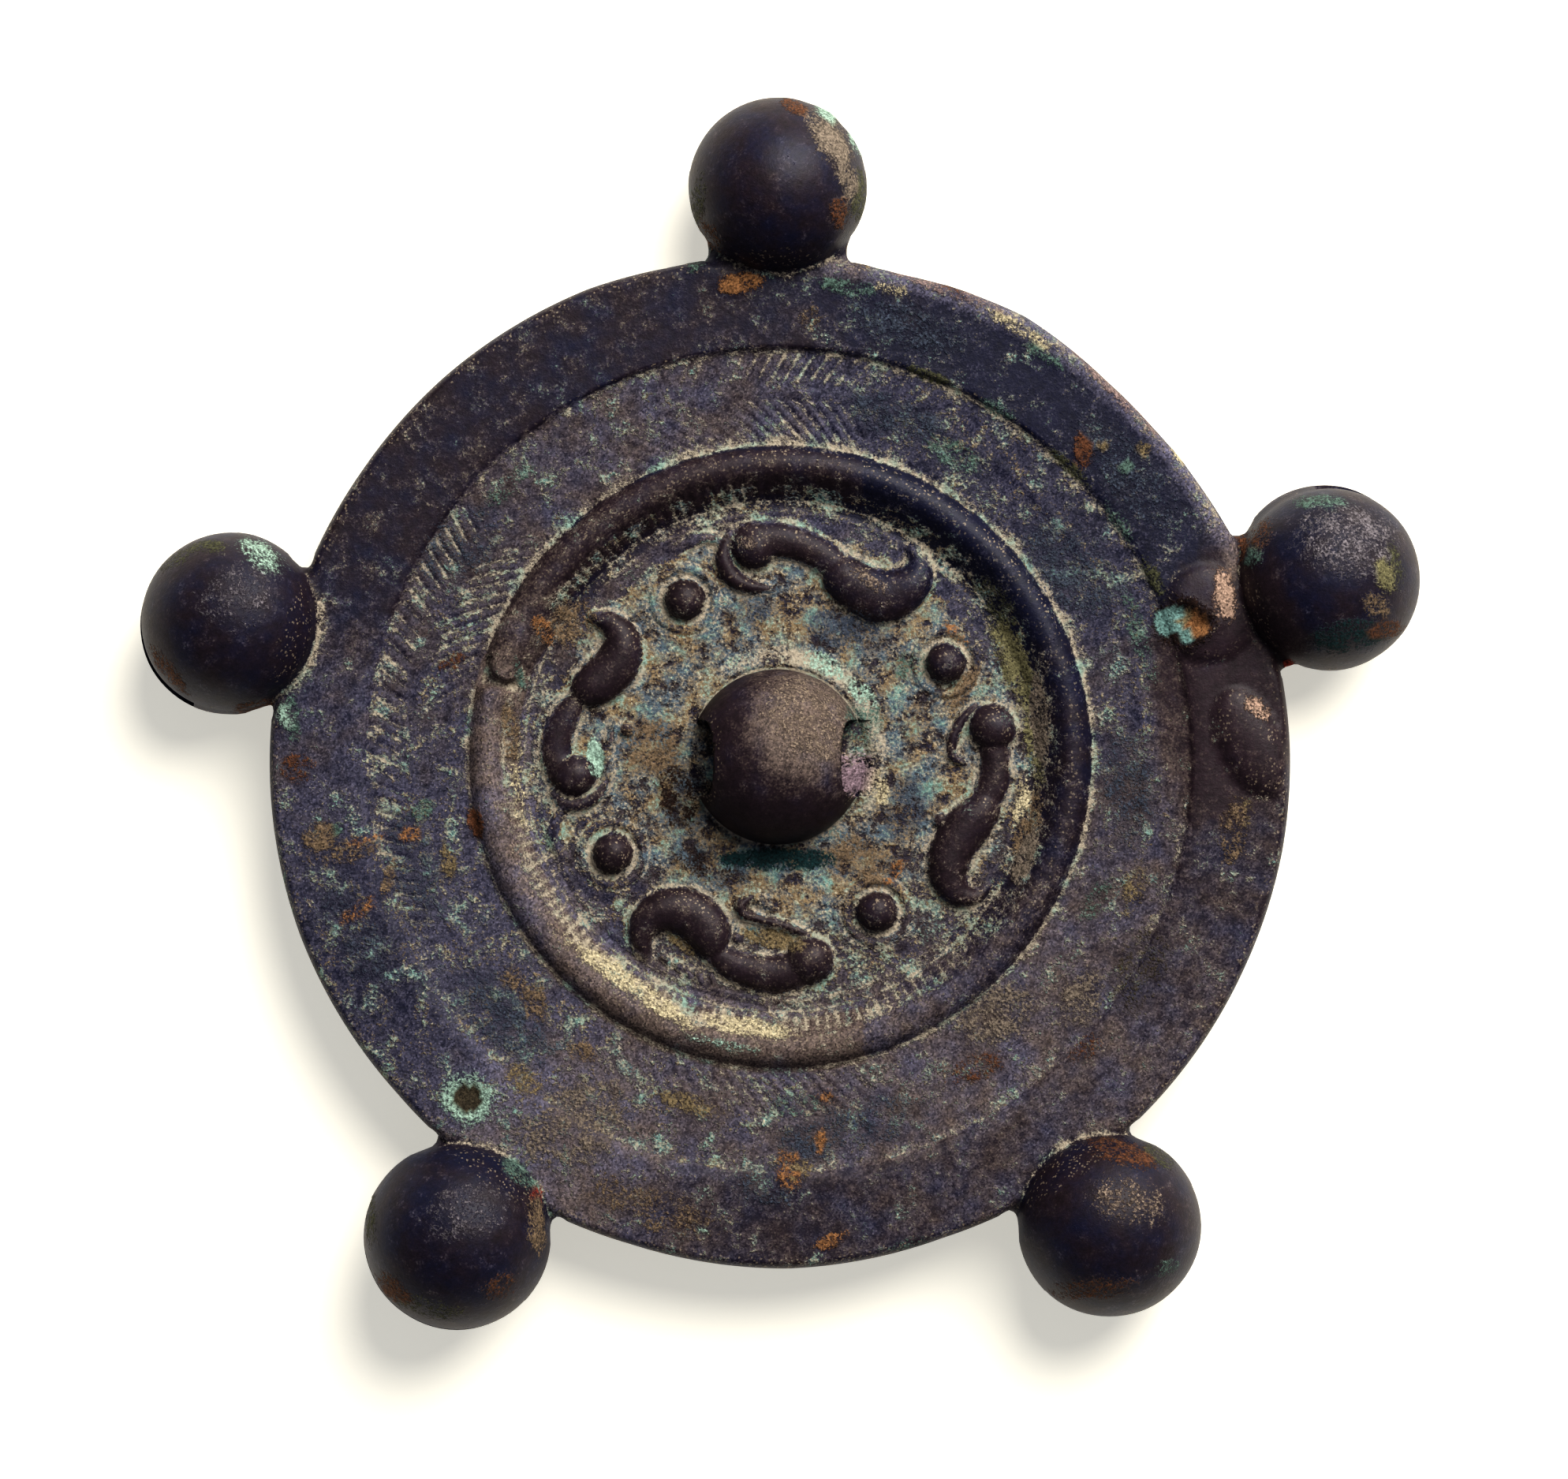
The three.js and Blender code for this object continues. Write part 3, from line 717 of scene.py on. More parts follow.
@dataclass
class Bell:
    """A hollow ball with a slit, cast on the rim."""

    name: str
    seed: int  # of its unevenness
    radius: float
    seam: tuple[float, float]  # how far the lower half is off the upper one
    wall: float = 1.4
    slit: float = 1.8
    slit_half_angle: float = 80.0
    web_radius: float = 6.8
    web_height: float = 1.45
    web_at: float = 47.6  # from the plate's middle
    web_drop: float = 1.5
    foot_radius: float = 1.3  # of the flat it rests on
    unevenness: float = 0.006

    @property
    def foot(self) -> Vector:
        """The point under the bell that it rests on, about the middle of the plate."""
        return mount_place(f"foot_{self.name}") - mount_place("polished_face").xy.to_3d()

    @property
    def centre(self) -> Vector:
        """The middle of the ball."""
        return Vector((self.foot.x, self.foot.y, math.sqrt(self.radius ** 2 - self.foot_radius ** 2)))

    def add_ball(self, bm: bmesh.types.BMesh) -> None:
        """Add the outer ball: its halves a little off each other, its foot worn flat.

        Args:
            bm: The bmesh that it is added to.
        """
        ball = bmesh.ops.create_uvsphere(bm, u_segments=72, v_segments=36, radius=self.radius)["verts"]
        for vert in ball:
            vert.co *= 1 + self.unevenness * noise.noise(vert.co / 4.5 + Vector((self.seed, 0, 0)))
            low = min(max((0.45 - vert.co.z) / 0.9, 0.0), 1.0)
            vert.co.x += self.seam[0] * low
            vert.co.y += self.seam[1] * low
        bmesh.ops.translate(bm, verts=ball, vec=self.centre)
        for vert in ball:
            vert.co.z = max(vert.co.z, 0.0)

    def add_web(self, bm: bmesh.types.BMesh) -> None:
        """Add the flat web of metal that fills the corners between the bell and the rim.

        Args:
            bm: The bmesh that it is added to.
        """
        web = bmesh.ops.create_uvsphere(bm, u_segments=48, v_segments=12, radius=self.web_radius)["verts"]
        bmesh.ops.scale(bm, verts=web, vec=(1, 1, self.web_height / self.web_radius))
        out = self.centre.xy.normalized() * self.web_at
        bmesh.ops.translate(bm, verts=web, vec=(out.x, out.y, RIM_TOP - self.web_drop))

    def add_hollow(self, bm: bmesh.types.BMesh) -> None:
        """Add the hollow that is cut out of the ball."""
        hollow = bmesh.ops.create_uvsphere(bm, u_segments=32, v_segments=16, radius=self.radius - self.wall)["verts"]
        bmesh.ops.translate(bm, verts=hollow, vec=self.centre)

    def add_slit(self, bm: bmesh.types.BMesh) -> None:
        """Add the bar that opens the slit round the bell's outer side.

        Args:
            bm: The bmesh that it is added to.
        """
        start = self.radius * math.cos(math.radians(self.slit_half_angle))
        slit = bmesh.ops.create_cube(bm, size=1)["verts"]
        bmesh.ops.scale(bm, verts=slit, vec=(self.radius * 1.2, 3 * self.radius, self.slit))
        bmesh.ops.translate(bm, verts=slit, vec=(start + 0.6 * self.radius, 0, 0))
        turn = math.atan2(self.centre.y, self.centre.x)
        bmesh.ops.rotate(bm, verts=slit, cent=(0, 0, 0), matrix=Matrix.Rotation(turn, 3, "Z"))
        bmesh.ops.translate(bm, verts=slit, vec=self.centre)


BELLS = (
    Bell("top", 0, 8.428, (0.0, 0.1)),
    Bell("right", 1, 8.643, (-0.35, 0.35)),
    Bell("lower_right", 2, 8.686, (0.1, -0.1)),
    Bell("lower_left", 3, 8.858, (-0.1, -0.15)),
    Bell("left", 4, 8.471, (-0.22, -0.3)),
)


class BloomAndPaintedLight(Enum):
    """What has grown or settled on the bronze, each with its colour, and a few colours of painted highlight and painted
    shade.
    """

    TAN_EARTH = "#7f6d58"
    CREAM_EARTH = "#c4b899"
    ORANGE_TAN = "#98704c"
    RUST = "#6a4732"
    CUPRITE = "#863226"
    OCHRE = "#85765a"
    RUBBED_GOLD_AND_PAINTED_HIGHLIGHT = "#978778"
    BARE_METAL = "#b59a88"
    PAINTED_HIGHLIGHT_GREY = "#7c767a"
    WORN_PINK = "#8f7c78"
    VERDIGRIS = "#62786e"
    MINT = "#a2bbab"
    TURQUOISE = "#7a9a94"
    DEEP_TEAL_AND_PAINTED_SHADE = "#1d3a3c"
    OLIVE = "#565640"
    LICHEN = "#7b7658"
    SLATE_BLUE = "#4b525f"
    SOIL_PINK = "#b19aa3"
    SOIL_GREY = "#85796c"
    DARK_BROWN_AND_PAINTED_SHADE = "#2c1c16"
    UMBER = "#4a4234"


@dataclass(frozen=True)
class Patch:
    """One stain or crust, or a patch of painted highlight or painted shade: where it lies seen from above, its
    half-sizes, how dense and how thick it is.
    """

    bloom_and_painted_light: BloomAndPaintedLight
    x: float
    y: float
    along: float
    across: float
    lean: float = 0.0
    amount: float = 0.8
    rise: float = 0.0

    def weight(self, places: np.ndarray) -> np.ndarray:
        """Give how much of the patch covers each place, from 0 to amount.

        Args:
            places: The vertices as rows of X, Y and Z.

        Returns:
            The weight at each place.
        """
        lean = math.radians(self.lean)
        dx, dy = places[:, 0] - self.x, places[:, 1] - self.y
        along = (dx * math.cos(lean) + dy * math.sin(lean)) / self.along
        across = (-dx * math.sin(lean) + dy * math.cos(lean)) / self.across
        return self.amount * (1 - ease(np.hypot(along, across), 0.55, 1.25)) * (places[:, 2] > 5.9)


PATCHES = (
    # Rim and the step at its inner edge
    Patch(BloomAndPaintedLight.ORANGE_TAN, -3.6, 45.1, 2.5, 1.1, 10, 0.95, 0.12),
    Patch(BloomAndPaintedLight.VERDIGRIS, 6.5, 44.8, 3.4, 1.0, -8, 0.6, 0.08),
    Patch(BloomAndPaintedLight.VERDIGRIS, -7.6, 47.3, 1.8, 0.9, 50, 0.65, 0.1),
    Patch(BloomAndPaintedLight.TAN_EARTH, 7.6, 47.6, 1.8, 1.0, -50, 0.7, 0.1),
    Patch(BloomAndPaintedLight.CREAM_EARTH, 23.0, 40.6, 4.5, 0.8, -30, 0.6, 0.08),
    Patch(BloomAndPaintedLight.WORN_PINK, 31.5, 35.2, 7.5, 0.8, -47, 0.62),
    Patch(BloomAndPaintedLight.WORN_PINK, 15.5, 44.6, 7.0, 0.7, -19, 0.55),
    Patch(BloomAndPaintedLight.VERDIGRIS, 25.0, 38.4, 3.0, 0.7, -34, 0.6, 0.08),
    Patch(BloomAndPaintedLight.RUST, 16.8, 44.4, 2.2, 0.5, -20, 0.6, 0.06),
    Patch(BloomAndPaintedLight.RUST, 43.4, 21.6, 3.4, 0.7, -64, 0.6, 0.08),
    Patch(BloomAndPaintedLight.VERDIGRIS, 44.4, 19.2, 1.2, 1.2, 0, 0.65, 0.1),
    Patch(BloomAndPaintedLight.OLIVE, 14.2, 36.4, 2.6, 0.7, -22, 0.6, 0.06),
    Patch(BloomAndPaintedLight.VERDIGRIS, 20.6, 33.3, 2.0, 0.8, -32, 0.6, 0.06),
    Patch(BloomAndPaintedLight.OLIVE, 27.4, 27.8, 3.0, 0.7, -45, 0.6, 0.06),
    Patch(BloomAndPaintedLight.VERDIGRIS, 32.0, 22.6, 2.6, 0.8, -55, 0.55, 0.06),
    Patch(BloomAndPaintedLight.OLIVE, 35.4, 17.2, 2.6, 0.8, -64, 0.6, 0.08),
    Patch(BloomAndPaintedLight.CREAM_EARTH, 10.5, 44.6, 2.2, 0.8, -12, 0.55, 0.06),
    Patch(BloomAndPaintedLight.TAN_EARTH, 3.0, 41.8, 1.2, 1.6, 0, 0.5),
    Patch(BloomAndPaintedLight.SLATE_BLUE, 12.0, 41.0, 7.0, 2.6, -18, 0.5),
    Patch(BloomAndPaintedLight.SLATE_BLUE, 33.0, 27.0, 8.0, 3.0, -50, 0.45),
    Patch(BloomAndPaintedLight.TAN_EARTH, 43.0, -6.5, 1.6, 4.0, -8, 0.5),
    Patch(BloomAndPaintedLight.OCHRE, 44.0, -5.0, 0.9, 2.0, 0, 0.55, 0.05),
    Patch(BloomAndPaintedLight.TAN_EARTH, -41.0, -8.5, 4.0, 1.6, 10, 0.5),
    Patch(BloomAndPaintedLight.ORANGE_TAN, -39.0, -7.6, 3.0, 0.8, 12, 0.45),
    Patch(BloomAndPaintedLight.TAN_EARTH, -12.0, -42.0, 8.0, 2.6, -18, 0.45),
    Patch(BloomAndPaintedLight.SLATE_BLUE, -1.0, -40.0, 4.0, 2.4, 0, 0.45),
    Patch(BloomAndPaintedLight.OCHRE, 1.8, -38.6, 2.0, 1.2, 30, 0.5, 0.05),
    Patch(BloomAndPaintedLight.SLATE_BLUE, -40.0, -16.0, 3.0, 7.0, 22, 0.4),
    Patch(BloomAndPaintedLight.VERDIGRIS, 12.0, -45.5, 3.0, 0.8, 12, 0.4),
    Patch(BloomAndPaintedLight.VERDIGRIS, -45.8, 4.0, 0.9, 3.0, 5, 0.5, 0.06),
    Patch(BloomAndPaintedLight.MINT, -29.4, -31.8, 2.9, 2.9, 0, 0.75, 0.15),
    Patch(BloomAndPaintedLight.UMBER, -29.4, -31.8, 1.7, 1.7, 0, 1.1, -0.3),
    Patch(BloomAndPaintedLight.RUST, -45.4, -0.6, 1.8, 1.8, 0, 0.55),
    Patch(BloomAndPaintedLight.TAN_EARTH, -43.2, -7.0, 2.2, 1.6, 20, 0.68, 0.06),
    Patch(BloomAndPaintedLight.VERDIGRIS, -41.8, -6.4, 1.0, 0.8, 20, 0.6, 0.06),
    Patch(BloomAndPaintedLight.ORANGE_TAN, -39.7, -14.0, 2.6, 1.0, 38, 0.6, 0.06),
    Patch(BloomAndPaintedLight.TAN_EARTH, -36.8, -11.0, 0.7, 2.4, -12, 0.6, 0.05),
    Patch(BloomAndPaintedLight.ORANGE_TAN, -34.7, -7.0, 1.3, 1.1, 0, 0.6, 0.05),
    Patch(BloomAndPaintedLight.VERDIGRIS, -33.6, -4.6, 1.6, 1.1, 50, 0.6, 0.05),
    Patch(BloomAndPaintedLight.OCHRE, -31.2, -9.5, 0.9, 2.2, 12, 0.6, 0.05),
    Patch(BloomAndPaintedLight.RUST, -28.6, -5.6, 0.9, 2.0, 15, 0.75, 0.06),
    Patch(BloomAndPaintedLight.MINT, -46.6, 4.3, 0.9, 1.7, 10, 0.65, 0.08),
    Patch(BloomAndPaintedLight.RUST, -30.8, 9.3, 1.8, 1.0, 30, 0.5),
    Patch(BloomAndPaintedLight.TAN_EARTH, -23.9, -22.2, 4.0, 2.2, -50, 0.55, 0.04),
    Patch(BloomAndPaintedLight.TAN_EARTH, -18.6, -27.4, 2.0, 1.2, -30, 0.6, 0.05),
    Patch(BloomAndPaintedLight.OCHRE, -8.7, -32.2, 4.2, 1.2, -18, 0.6, 0.05),
    Patch(BloomAndPaintedLight.ORANGE_TAN, 0.9, -38.6, 1.5, 2.4, 10, 0.62, 0.12),
    Patch(BloomAndPaintedLight.ORANGE_TAN, 3.9, -35.8, 0.8, 1.7, 0, 0.62, 0.1),
    Patch(BloomAndPaintedLight.SLATE_BLUE, 2.6, -36.0, 3.4, 2.4, 0, 0.5),
    Patch(BloomAndPaintedLight.ORANGE_TAN, 4.9, -45.2, 2.2, 0.8, 25, 0.65, 0.08),
    Patch(BloomAndPaintedLight.MINT, -7.1, -44.2, 0.6, 0.5, 0, 0.8, 0.06),
    Patch(BloomAndPaintedLight.SOIL_GREY, -19.5, -34.2, 7.0, 4.8, 25, 0.5),
    Patch(BloomAndPaintedLight.RUST, 28.7, 29.4, 1.1, 1.8, 10, 0.75, 0.08),
    Patch(BloomAndPaintedLight.OCHRE, 30.5, 29.7, 0.6, 0.6, 0, 0.9, 0.05),
    Patch(BloomAndPaintedLight.OCHRE, 34.3, 29.5, 1.0, 0.8, 0, 0.8, 0.05),
    Patch(BloomAndPaintedLight.VERDIGRIS, 32.9, 27.8, 0.9, 0.8, 0, 0.8, 0.05),
    Patch(BloomAndPaintedLight.CREAM_EARTH, 37.8, 28.9, 1.3, 0.6, -55, 0.7, 0.05),
    Patch(BloomAndPaintedLight.ORANGE_TAN, 0.8, -37.5, 1.5, 1.0, 30, 0.6, 0.08),
    Patch(BloomAndPaintedLight.BARE_METAL, 42.1, 15.8, 1.2, 2.8, 8, 0.85),
    Patch(BloomAndPaintedLight.BARE_METAL, 45.2, 4.9, 1.6, 0.9, -45, 0.75),
    Patch(BloomAndPaintedLight.DARK_BROWN_AND_PAINTED_SHADE, 38.2, 13.0, 3.4, 2.9, 0, 0.75),
    Patch(BloomAndPaintedLight.CUPRITE, 48.1, 9.2, 0.6, 0.5, 0, 1.0, 0.1),
    Patch(BloomAndPaintedLight.TURQUOISE, 37.0, 13.2, 1.9, 1.5, 20, 1.2),
    Patch(BloomAndPaintedLight.TURQUOISE, 38.4, 11.9, 1.2, 0.8, -30, 1.2),
    Patch(BloomAndPaintedLight.OCHRE, 38.0, 13.6, 1.0, 0.9, 0, 1.25),
    Patch(BloomAndPaintedLight.ORANGE_TAN, 39.4, 12.9, 1.2, 1.5, 20, 1.3),
    # Ring ridge
    Patch(BloomAndPaintedLight.ORANGE_TAN, -22.2, 12.4, 1.0, 2.0, 35, 0.6, 0.1),
    Patch(BloomAndPaintedLight.TAN_EARTH, -19.6, 13.0, 3.0, 2.4, 40, 0.6, 0.08),
    Patch(BloomAndPaintedLight.VERDIGRIS, -24.5, 8.4, 0.5, 2.0, 12, 0.65, 0.05),
    Patch(BloomAndPaintedLight.TAN_EARTH, -25.3, 2.6, 1.1, 3.8, 3, 0.6, 0.05),
    # Partly painted highlight: cream on the ring's left and lower inner slope, which faces the key light, over real
    # earth
    Patch(BloomAndPaintedLight.CREAM_EARTH, -24.9, 0.6, 0.8, 3.4, 3, 0.55, 0.05),
    Patch(BloomAndPaintedLight.CREAM_EARTH, -24.6, -3.5, 0.8, 4.0, 10, 0.5, 0.03),
    Patch(BloomAndPaintedLight.CREAM_EARTH, -14.0, -21.0, 9.0, 1.2, -35, 0.62, 0.0),
    Patch(BloomAndPaintedLight.CREAM_EARTH, -3.0, -25.0, 5.5, 1.1, -10, 0.6, 0.0),
    Patch(BloomAndPaintedLight.MINT, -5.5, -26.6, 4.5, 0.6, -12, 0.5, 0.06),
    # Inner field
    Patch(BloomAndPaintedLight.MINT, 4.2, 9.2, 2.6, 1.1, -28, 0.6, 0.05),
    Patch(BloomAndPaintedLight.MINT, 7.9, 6.4, 2.4, 1.1, -52, 0.6, 0.05),
    Patch(BloomAndPaintedLight.MINT, -3.6, 9.6, 2.4, 0.8, 22, 0.35),
    Patch(BloomAndPaintedLight.SOIL_PINK, 7.3, -0.6, 1.1, 3.0, 0, 0.95, 0.1),
    # Painted shade, partly teal: dark teal under the knob, on its shaded lower side
    Patch(BloomAndPaintedLight.DEEP_TEAL_AND_PAINTED_SHADE, 0.0, -9.3, 6.5, 1.3, 0, 0.85),
    Patch(BloomAndPaintedLight.CUPRITE, -7.6, 1.0, 0.7, 1.4, 0, 0.8),
    # Partly rubbed metal, partly painted highlight: gold where the key light falls on the knob and the top beast
    Patch(BloomAndPaintedLight.RUBBED_GOLD_AND_PAINTED_HIGHLIGHT, 3.0, 3.9, 5.6, 4.2, -40, 0.42),
    Patch(BloomAndPaintedLight.RUBBED_GOLD_AND_PAINTED_HIGHLIGHT, -3.0, 20.6, 1.2, 0.9, 0, 0.55),
    Patch(BloomAndPaintedLight.RUBBED_GOLD_AND_PAINTED_HIGHLIGHT, 8.8, 16.9, 3.2, 0.8, -35, 0.45),
    Patch(BloomAndPaintedLight.MINT, -17.3, 0.4, 0.9, 2.2, 8, 0.95, 0.1),
    Patch(BloomAndPaintedLight.LICHEN, 22.4, 9.0, 6.0, 1.7, 112, 0.72, 0.15),
    Patch(BloomAndPaintedLight.SOIL_GREY, 24.6, 4.0, 1.1, 5.0, 4, 0.78, 0.08),
    Patch(BloomAndPaintedLight.LICHEN, 24.2, 2.4, 5.2, 1.3, 95, 0.62, 0.1),
    Patch(BloomAndPaintedLight.TAN_EARTH, 23.6, -6.0, 4.0, 1.3, 75, 0.72, 0.08),
    Patch(BloomAndPaintedLight.SOIL_GREY, 23.4, -8.6, 1.1, 3.6, -20, 0.72, 0.06),
    Patch(BloomAndPaintedLight.OLIVE, 20.6, 15.0, 3.4, 1.4, -52, 0.55, 0.06),
    Patch(BloomAndPaintedLight.ORANGE_TAN, 16.8, 12.0, 2.0, 0.8, -40, 0.5),
    Patch(BloomAndPaintedLight.TAN_EARTH, 17.6, 7.0, 2.6, 1.0, 60, 0.65, 0.05),
    Patch(BloomAndPaintedLight.CREAM_EARTH, 23.0, -3.8, 1.0, 2.6, -10, 0.6, 0.05),
    Patch(BloomAndPaintedLight.SLATE_BLUE, 6.5, 12.5, 5.0, 2.4, -12, 0.55),
    Patch(BloomAndPaintedLight.SLATE_BLUE, 12.0, -4.5, 2.4, 3.6, -20, 0.5),
    Patch(BloomAndPaintedLight.SLATE_BLUE, -3.0, 14.0, 3.0, 1.6, 10, 0.45),
    Patch(BloomAndPaintedLight.VERDIGRIS, 12.4, 9.0, 2.2, 1.6, 0, 0.5),
    # Painted shadow: dark brown left of and below the knob, on its side away from the key light
    Patch(BloomAndPaintedLight.DARK_BROWN_AND_PAINTED_SHADE, -9.6, -3.5, 2.2, 4.0, 20, 0.6),
    Patch(BloomAndPaintedLight.DARK_BROWN_AND_PAINTED_SHADE, -6.5, -10.0, 4.5, 1.8, -20, 0.5),
    # Comb bands
    Patch(BloomAndPaintedLight.SLATE_BLUE, 27.5, 18.5, 7.0, 4.0, -50, 0.5),
    Patch(BloomAndPaintedLight.SLATE_BLUE, 33.0, -2.0, 3.0, 7.0, 5, 0.45),
    Patch(BloomAndPaintedLight.SLATE_BLUE, 11.0, 32.5, 6.0, 2.4, -18, 0.5),
    Patch(BloomAndPaintedLight.SLATE_BLUE, -30.0, 20.5, 6.0, 3.6, 45, 0.42),
    Patch(BloomAndPaintedLight.SLATE_BLUE, -26.0, -24.0, 7.0, 3.6, -45, 0.5),
    Patch(BloomAndPaintedLight.SLATE_BLUE, -34.5, -10.0, 3.0, 7.0, 10, 0.42),
    Patch(BloomAndPaintedLight.SLATE_BLUE, 8.0, -34.0, 7.0, 3.0, 12, 0.45),
    Patch(BloomAndPaintedLight.VERDIGRIS, 16.5, 29.0, 3.6, 1.6, -30, 0.5),
    Patch(BloomAndPaintedLight.VERDIGRIS, 34.0, 12.0, 1.2, 6.0, 18, 0.45),
    Patch(BloomAndPaintedLight.VERDIGRIS, -25.5, 26.0, 4.0, 1.2, 45, 0.4),
    Patch(BloomAndPaintedLight.SOIL_GREY, 20.5, -24.0, 4.6, 3.2, 30, 0.55),
    Patch(BloomAndPaintedLight.SOIL_GREY, 28.5, -22.5, 3.8, 2.6, 60, 0.52),
    Patch(BloomAndPaintedLight.RUST, 18.5, -29.0, 3.6, 1.6, 20, 0.46),
    Patch(BloomAndPaintedLight.RUST, 29.0, -27.0, 2.4, 1.2, 40, 0.46),
    Patch(BloomAndPaintedLight.UMBER, 34.0, -20.0, 3.0, 5.0, -30, 0.45),
    Patch(BloomAndPaintedLight.OCHRE, -24.0, -30.0, 2.6, 1.4, -40, 0.5, 0.05),
    Patch(BloomAndPaintedLight.OCHRE, 33.6, -12.0, 1.4, 3.0, -15, 0.45),
    Patch(BloomAndPaintedLight.VERDIGRIS, 30.0, -13.0, 3.0, 1.4, 60, 0.42),
    Patch(BloomAndPaintedLight.VERDIGRIS, 1.5, -32.5, 3.5, 1.3, 5, 0.42),
    Patch(BloomAndPaintedLight.ORANGE_TAN, 4.4, -31.6, 1.2, 0.8, 0, 0.5),
    # Inner field, after the bands because a later stain lies over an earlier one
    Patch(BloomAndPaintedLight.VERDIGRIS, 8.0, 4.0, 2.2, 2.6, 0, 0.55),
    Patch(BloomAndPaintedLight.CREAM_EARTH, 9.6, -2.3, 1.0, 2.4, 15, 0.6, 0.05),
    Patch(BloomAndPaintedLight.TAN_EARTH, -12.0, 1.5, 3.5, 3.0, 0, 0.6),
    Patch(BloomAndPaintedLight.TAN_EARTH, 8.0, -9.5, 4.0, 2.6, -30, 0.6),
    Patch(BloomAndPaintedLight.ORANGE_TAN, 10.8, -10.6, 2.0, 0.8, 45, 0.6),
    Patch(BloomAndPaintedLight.OCHRE, -0.5, -16.8, 3.6, 1.1, -12, 0.75, 0.05),
    Patch(BloomAndPaintedLight.OCHRE, -9.3, -17.2, 2.0, 0.7, -38, 0.7, 0.03),
    # Top bell
    Patch(BloomAndPaintedLight.SOIL_GREY, 4.7, 58.6, 3.4, 1.8, -58, 0.8, 0.16),
    Patch(BloomAndPaintedLight.RUST, 1.6, 61.6, 1.6, 0.9, -25, 0.75, 0.12),
    Patch(BloomAndPaintedLight.MINT, 4.4, 61.0, 1.5, 0.7, -45, 0.75, 0.14),
    Patch(BloomAndPaintedLight.MINT, 7.2, 58.2, 1.8, 0.5, -62, 0.6, 0.12),
    Patch(BloomAndPaintedLight.SOIL_GREY, 6.4, 54.6, 2.6, 1.1, -75, 0.7, 0.14),
    Patch(BloomAndPaintedLight.OLIVE, 7.4, 53.4, 1.0, 3.0, 0, 0.65, 0.08),
    Patch(BloomAndPaintedLight.RUST, 5.6, 51.6, 0.9, 1.8, 10, 0.65, 0.08),
    Patch(BloomAndPaintedLight.OLIVE, -7.6, 52.4, 0.9, 4.0, -8, 0.5, 0.06),
    Patch(BloomAndPaintedLight.RUST, -6.6, 49.6, 1.0, 2.2, 40, 0.5, 0.0),
    # Left bell
    Patch(BloomAndPaintedLight.MINT, -48.6, 19.4, 3.0, 1.4, -35, 0.55, 0.1),
    Patch(BloomAndPaintedLight.OLIVE, -56.6, 19.0, 2.2, 0.8, 35, 0.5, 0.05),
    # Painted highlight: pale grey where the key light falls on the bell
    Patch(BloomAndPaintedLight.PAINTED_HIGHLIGHT_GREY, -50.6, 15.6, 4.4, 3.4, 20, 0.4),
    Patch(BloomAndPaintedLight.RUST, -57.4, 8.6, 3.4, 0.9, -50, 0.6, 0.06),
    Patch(BloomAndPaintedLight.OLIVE, -53.6, 20.2, 2.2, 0.8, 0, 0.6, 0.05),
    Patch(BloomAndPaintedLight.RUST, -49.4, 5.2, 2.6, 0.7, 15, 0.6, 0.06),
    # Right bell
    Patch(BloomAndPaintedLight.LICHEN, 56.8, 17.4, 1.2, 2.2, 25, 0.7, 0.12),
    Patch(BloomAndPaintedLight.TAN_EARTH, 56.0, 14.6, 1.9, 1.3, -30, 0.6, 0.12),
    Patch(BloomAndPaintedLight.RUST, 56.8, 12.4, 2.6, 1.0, 5, 0.65, 0.1),
    Patch(BloomAndPaintedLight.DEEP_TEAL_AND_PAINTED_SHADE, 53.6, 11.8, 4.4, 1.8, 8, 0.6, 0.05),
    Patch(BloomAndPaintedLight.RUST, 44.9, 20.6, 1.2, 3.0, -32, 0.55, 0.08),
    Patch(BloomAndPaintedLight.VERDIGRIS, 51.0, 24.4, 3.2, 0.8, 0, 0.6, 0.06),
    Patch(BloomAndPaintedLight.OLIVE, 57.8, 18.6, 1.2, 3.0, 15, 0.5, 0.08),
    # Painted highlight: pale grey where the key light falls on the bell
    Patch(BloomAndPaintedLight.PAINTED_HIGHLIGHT_GREY, 53.4, 20.8, 6.0, 4.2, -10, 0.5),
    # Lower right bell
    Patch(BloomAndPaintedLight.RUST, 32.5, -36.8, 4.2, 1.3, -14, 0.6, 0.08),
    Patch(BloomAndPaintedLight.OLIVE, 35.6, -37.2, 2.6, 1.0, -25, 0.5, 0.06),
    Patch(BloomAndPaintedLight.RUST, 29.5, -49.4, 4.6, 1.3, 8, 0.55, 0.08),
    Patch(BloomAndPaintedLight.VERDIGRIS, 36.5, -47.5, 1.4, 1.0, 30, 0.5, 0.06),
    # Partly rubbed metal, partly painted highlight: gold where the key light falls on the bell
    Patch(BloomAndPaintedLight.RUBBED_GOLD_AND_PAINTED_HIGHLIGHT, 32.8, -41.2, 4.4, 2.6, -15, 0.46),
    # Lower left bell
    Patch(BloomAndPaintedLight.TAN_EARTH, -22.8, -43.4, 1.0, 3.6, 5, 0.62, 0.1),
    Patch(BloomAndPaintedLight.CUPRITE, -22.8, -40.6, 0.7, 1.0, 0, 0.6, 0.08),
    Patch(BloomAndPaintedLight.VERDIGRIS, -24.4, -38.9, 2.6, 0.9, -38, 0.6, 0.1),
    Patch(BloomAndPaintedLight.RUST, -36.2, -49.6, 2.4, 1.2, -40, 0.65, 0.1),
    Patch(BloomAndPaintedLight.OLIVE, -38.4, -43.0, 0.8, 2.8, 0, 0.6, 0.08),
    # Painted highlight: pale grey where the key light falls on the bell
    Patch(BloomAndPaintedLight.PAINTED_HIGHLIGHT_GREY, -29.0, -42.0, 4.6, 3.2, 15, 0.42),
    Patch(BloomAndPaintedLight.OLIVE, -33.0, -51.2, 4.4, 1.2, -12, 0.45, 0.05),
